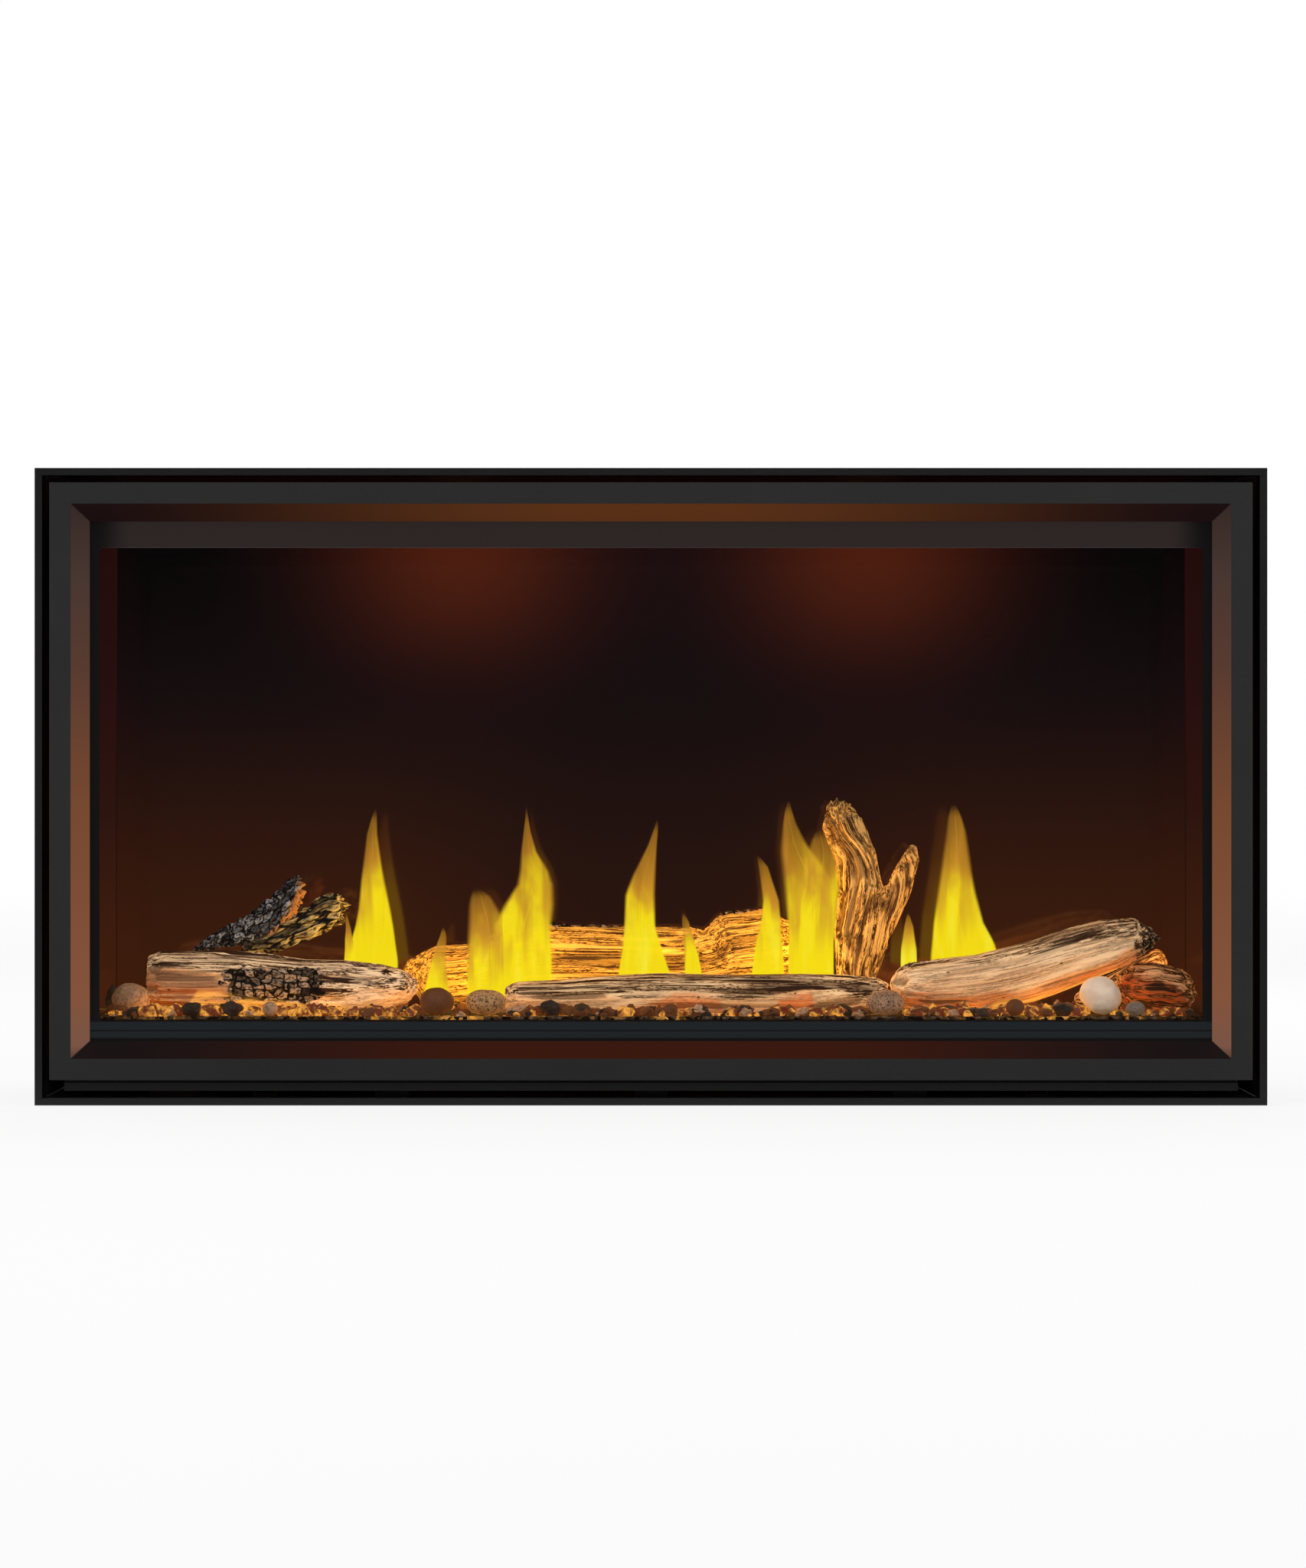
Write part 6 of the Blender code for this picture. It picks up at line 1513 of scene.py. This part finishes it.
class FIREPLACE_OT_gravel(bpy.types.Operator):
    """Cover the ember bed with grit, gravel and glowing embers"""

    bl_idname = "fireplace.gravel"
    bl_label = "Ember bed"

    HEAPS = {"gravel_dark": "charcoal", "gravel_tan": "stone_beige", "gravel_brown": "stone_brown"}
    MIX = ("gravel_dark", "gravel_brown", "gravel_brown", "gravel_tan")
    PEBBLE_REACH = 0.020

    def execute(self, context):
        recoat(bed_grit(), "media_bed")
        taken = self.taken()
        trees = []
        for piece in bpy.context.scene.objects:
            if piece.name.endswith("_wood"):
                places = [v.co for v in piece.data.vertices]
                trees.append(BVHTree.FromPolygons(places, [p.vertices for p in piece.data.polygons]))
        materials = {name: stone(kind) for name, kind in self.HEAPS.items()}
        materials["gravel_ember"] = ember()
        heaps = {name: bmesh.new() for name in materials}
        rough = random.Random(GRAVEL_SEED)
        for i in range(sizes().gravel_count):
            x = rough.uniform(-BED_HALF + 0.012, BED_HALF - 0.012)
            if i % 3:
                y = BED_FRONT_Y + rough.uniform(0.008, 0.045)
            else:
                y = rough.uniform(BED_FRONT_Y + 0.02, BED_BACK_Y - 0.01)
            size = sizes().gravel_size * (0.40 + 1.25 * rough.random() ** 2)
            place = Vector((x, y, BED_TOP_Z + size * 0.55))
            if abs(x) < SLOT_HALF + 0.01 and abs(y - (FLAME_DEPTH + RIM_Y)) < size + 0.007:
                continue
            if any((place - middle).xy.length < reach + size * 0.6 for middle, reach in taken):
                continue
            near = [t.find_nearest(place, 0.05) for t in trees]
            if any(n[0] is not None and (n[3] < size * 1.1 or (place - n[0]).dot(n[1]) < 0) for n in near):
                continue
            hot = sum(w * math.exp(-((x - ex) ** 2 + (y - ey) ** 2) / 0.004) for ex, ey, _, w in EMBER_POINTS)
            glows = rough.random() < 0.06 + 0.62 * hot
            kind = "gravel_ember" if glows else rough.choice(self.MIX)
            radii = [size * rough.uniform(0.75, 1.25) for _ in range(3)]
            radii[2] = min(radii[2], size) * 0.8
            seed, turn = rough.uniform(0, 90), rough.uniform(0, 3.1)
            stone_shape(heaps[kind], place, radii, seed, 0.75, 1 + i % 2, turn)
        for name, bm in heaps.items():
            warm_piece(name, bm, materials[name], "ember_gravel", smooth=28)
        return {"FINISHED"}

    def taken(self):
        """Where stones lie already: the middle of each and how far it reaches."""
        lo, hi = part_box("pebble_white")
        taken = [(0.5 * (lo + hi), self.PEBBLE_REACH)]
        for (left, right, top, bottom), depth, _ in STONES_PX.values():
            a, b = at_pixel(left, top, depth), at_pixel(right, bottom, depth)
            taken.append((Vector(((a.x + b.x) / 2, a.y, BED_TOP_Z)), (b.x - a.x) / 2))
        return taken


class FIREPLACE_OT_flames(bpy.types.Operator):
    """Raise the flames over the burner slot, each a pair of crossed sheets"""

    bl_idname = "fireplace.flames"
    bl_label = "Flames"

    COLUMNS = 12
    ROWS = 30
    CROSS_SHARE = 0.55
    CROSS_STRENGTH = 0.85

    def execute(self, context):
        for i, (name, edges) in enumerate(FLAME_EDGES.items()):
            bm = bmesh.new()
            layer = bm.verts.layers.float_vector.new("tongue")
            depth = FLAME_DEPTH + 0.0012 * ((i % 3) - 1)
            lefts = [at_pixel(left, py, depth) for py, left, right in edges]
            rights = [at_pixel(right, py, depth) for py, left, right in edges]
            heights = [p.z for p in lefts]
            for crossed in (False, True):
                rows = []
                for r in range(self.ROWS + 1):
                    up = r / self.ROWS
                    z = heights[0] + (heights[-1] - heights[0]) * up
                    left, right = (
                        float(np.interp(z, heights, [p.x for p in side])) for side in (lefts, rights)
                    )
                    middle, half = (left + right) / 2, (right - left) / 2
                    row = []
                    for c in range(self.COLUMNS + 1):
                        across = c / self.COLUMNS
                        out = half * (2 * across - 1)
                        bow = 0.20 * half * (1 - (2 * across - 1) ** 2)
                        x, y = middle + out, depth + RIM_Y - bow
                        if crossed:
                            x, y = middle + bow * 0.3, depth + RIM_Y + out * self.CROSS_SHARE
                        v = bm.verts.new((x, y, z))
                        v[layer] = Vector((across, up, self.CROSS_STRENGTH if crossed else 1.0))
                        row.append(v)
                    rows.append(row)
                bridged(bm, rows, closed=False)
            piece = piece_from(name, bm, flame_gas(), "casing", "ember_gravel", smooth=180)
            piece.visible_shadow = False
        return {"FINISHED"}


class FIREPLACE_PT_panel(bpy.types.Panel):
    """Lists the steps that dress the fireplace"""

    bl_label = "Gas fireplace"
    bl_idname = "FIREPLACE_PT_panel"
    bl_space_type = "VIEW_3D"
    bl_region_type = "UI"
    bl_category = "Fireplace"

    def draw(self, context):
        for step in STEPS:
            self.layout.operator(step.bl_idname)
        for holder in (context.scene.fireplace_sizes, context.scene.fireplace_finishes):
            for name in holder.__annotations__:
                self.layout.prop(holder, name)


STEPS = (
    FIREPLACE_OT_stage,
    FIREPLACE_OT_casing,
    FIREPLACE_OT_trim,
    FIREPLACE_OT_bezel,
    FIREPLACE_OT_rail,
    FIREPLACE_OT_door,
    FIREPLACE_OT_firebox,
    FIREPLACE_OT_controls,
    FIREPLACE_OT_logs,
    FIREPLACE_OT_stones,
    FIREPLACE_OT_gravel,
    FIREPLACE_OT_flames,
)
CLASSES = (FireplaceFinishes, FireplaceSizes, *STEPS, FIREPLACE_PT_panel)


def register():
    for made in CLASSES:
        bpy.utils.register_class(made)
    bpy.types.Scene.fireplace_finishes = PointerProperty(type=FireplaceFinishes)
    bpy.types.Scene.fireplace_sizes = PointerProperty(type=FireplaceSizes)


def unregister():
    del bpy.types.Scene.fireplace_sizes
    del bpy.types.Scene.fireplace_finishes
    for made in reversed(CLASSES):
        bpy.utils.unregister_class(made)


def main():
    register()
    for step in STEPS:
        category, action = step.bl_idname.split(".")
        getattr(getattr(bpy.ops, category), action)()


if __name__ == "__main__":
    main()
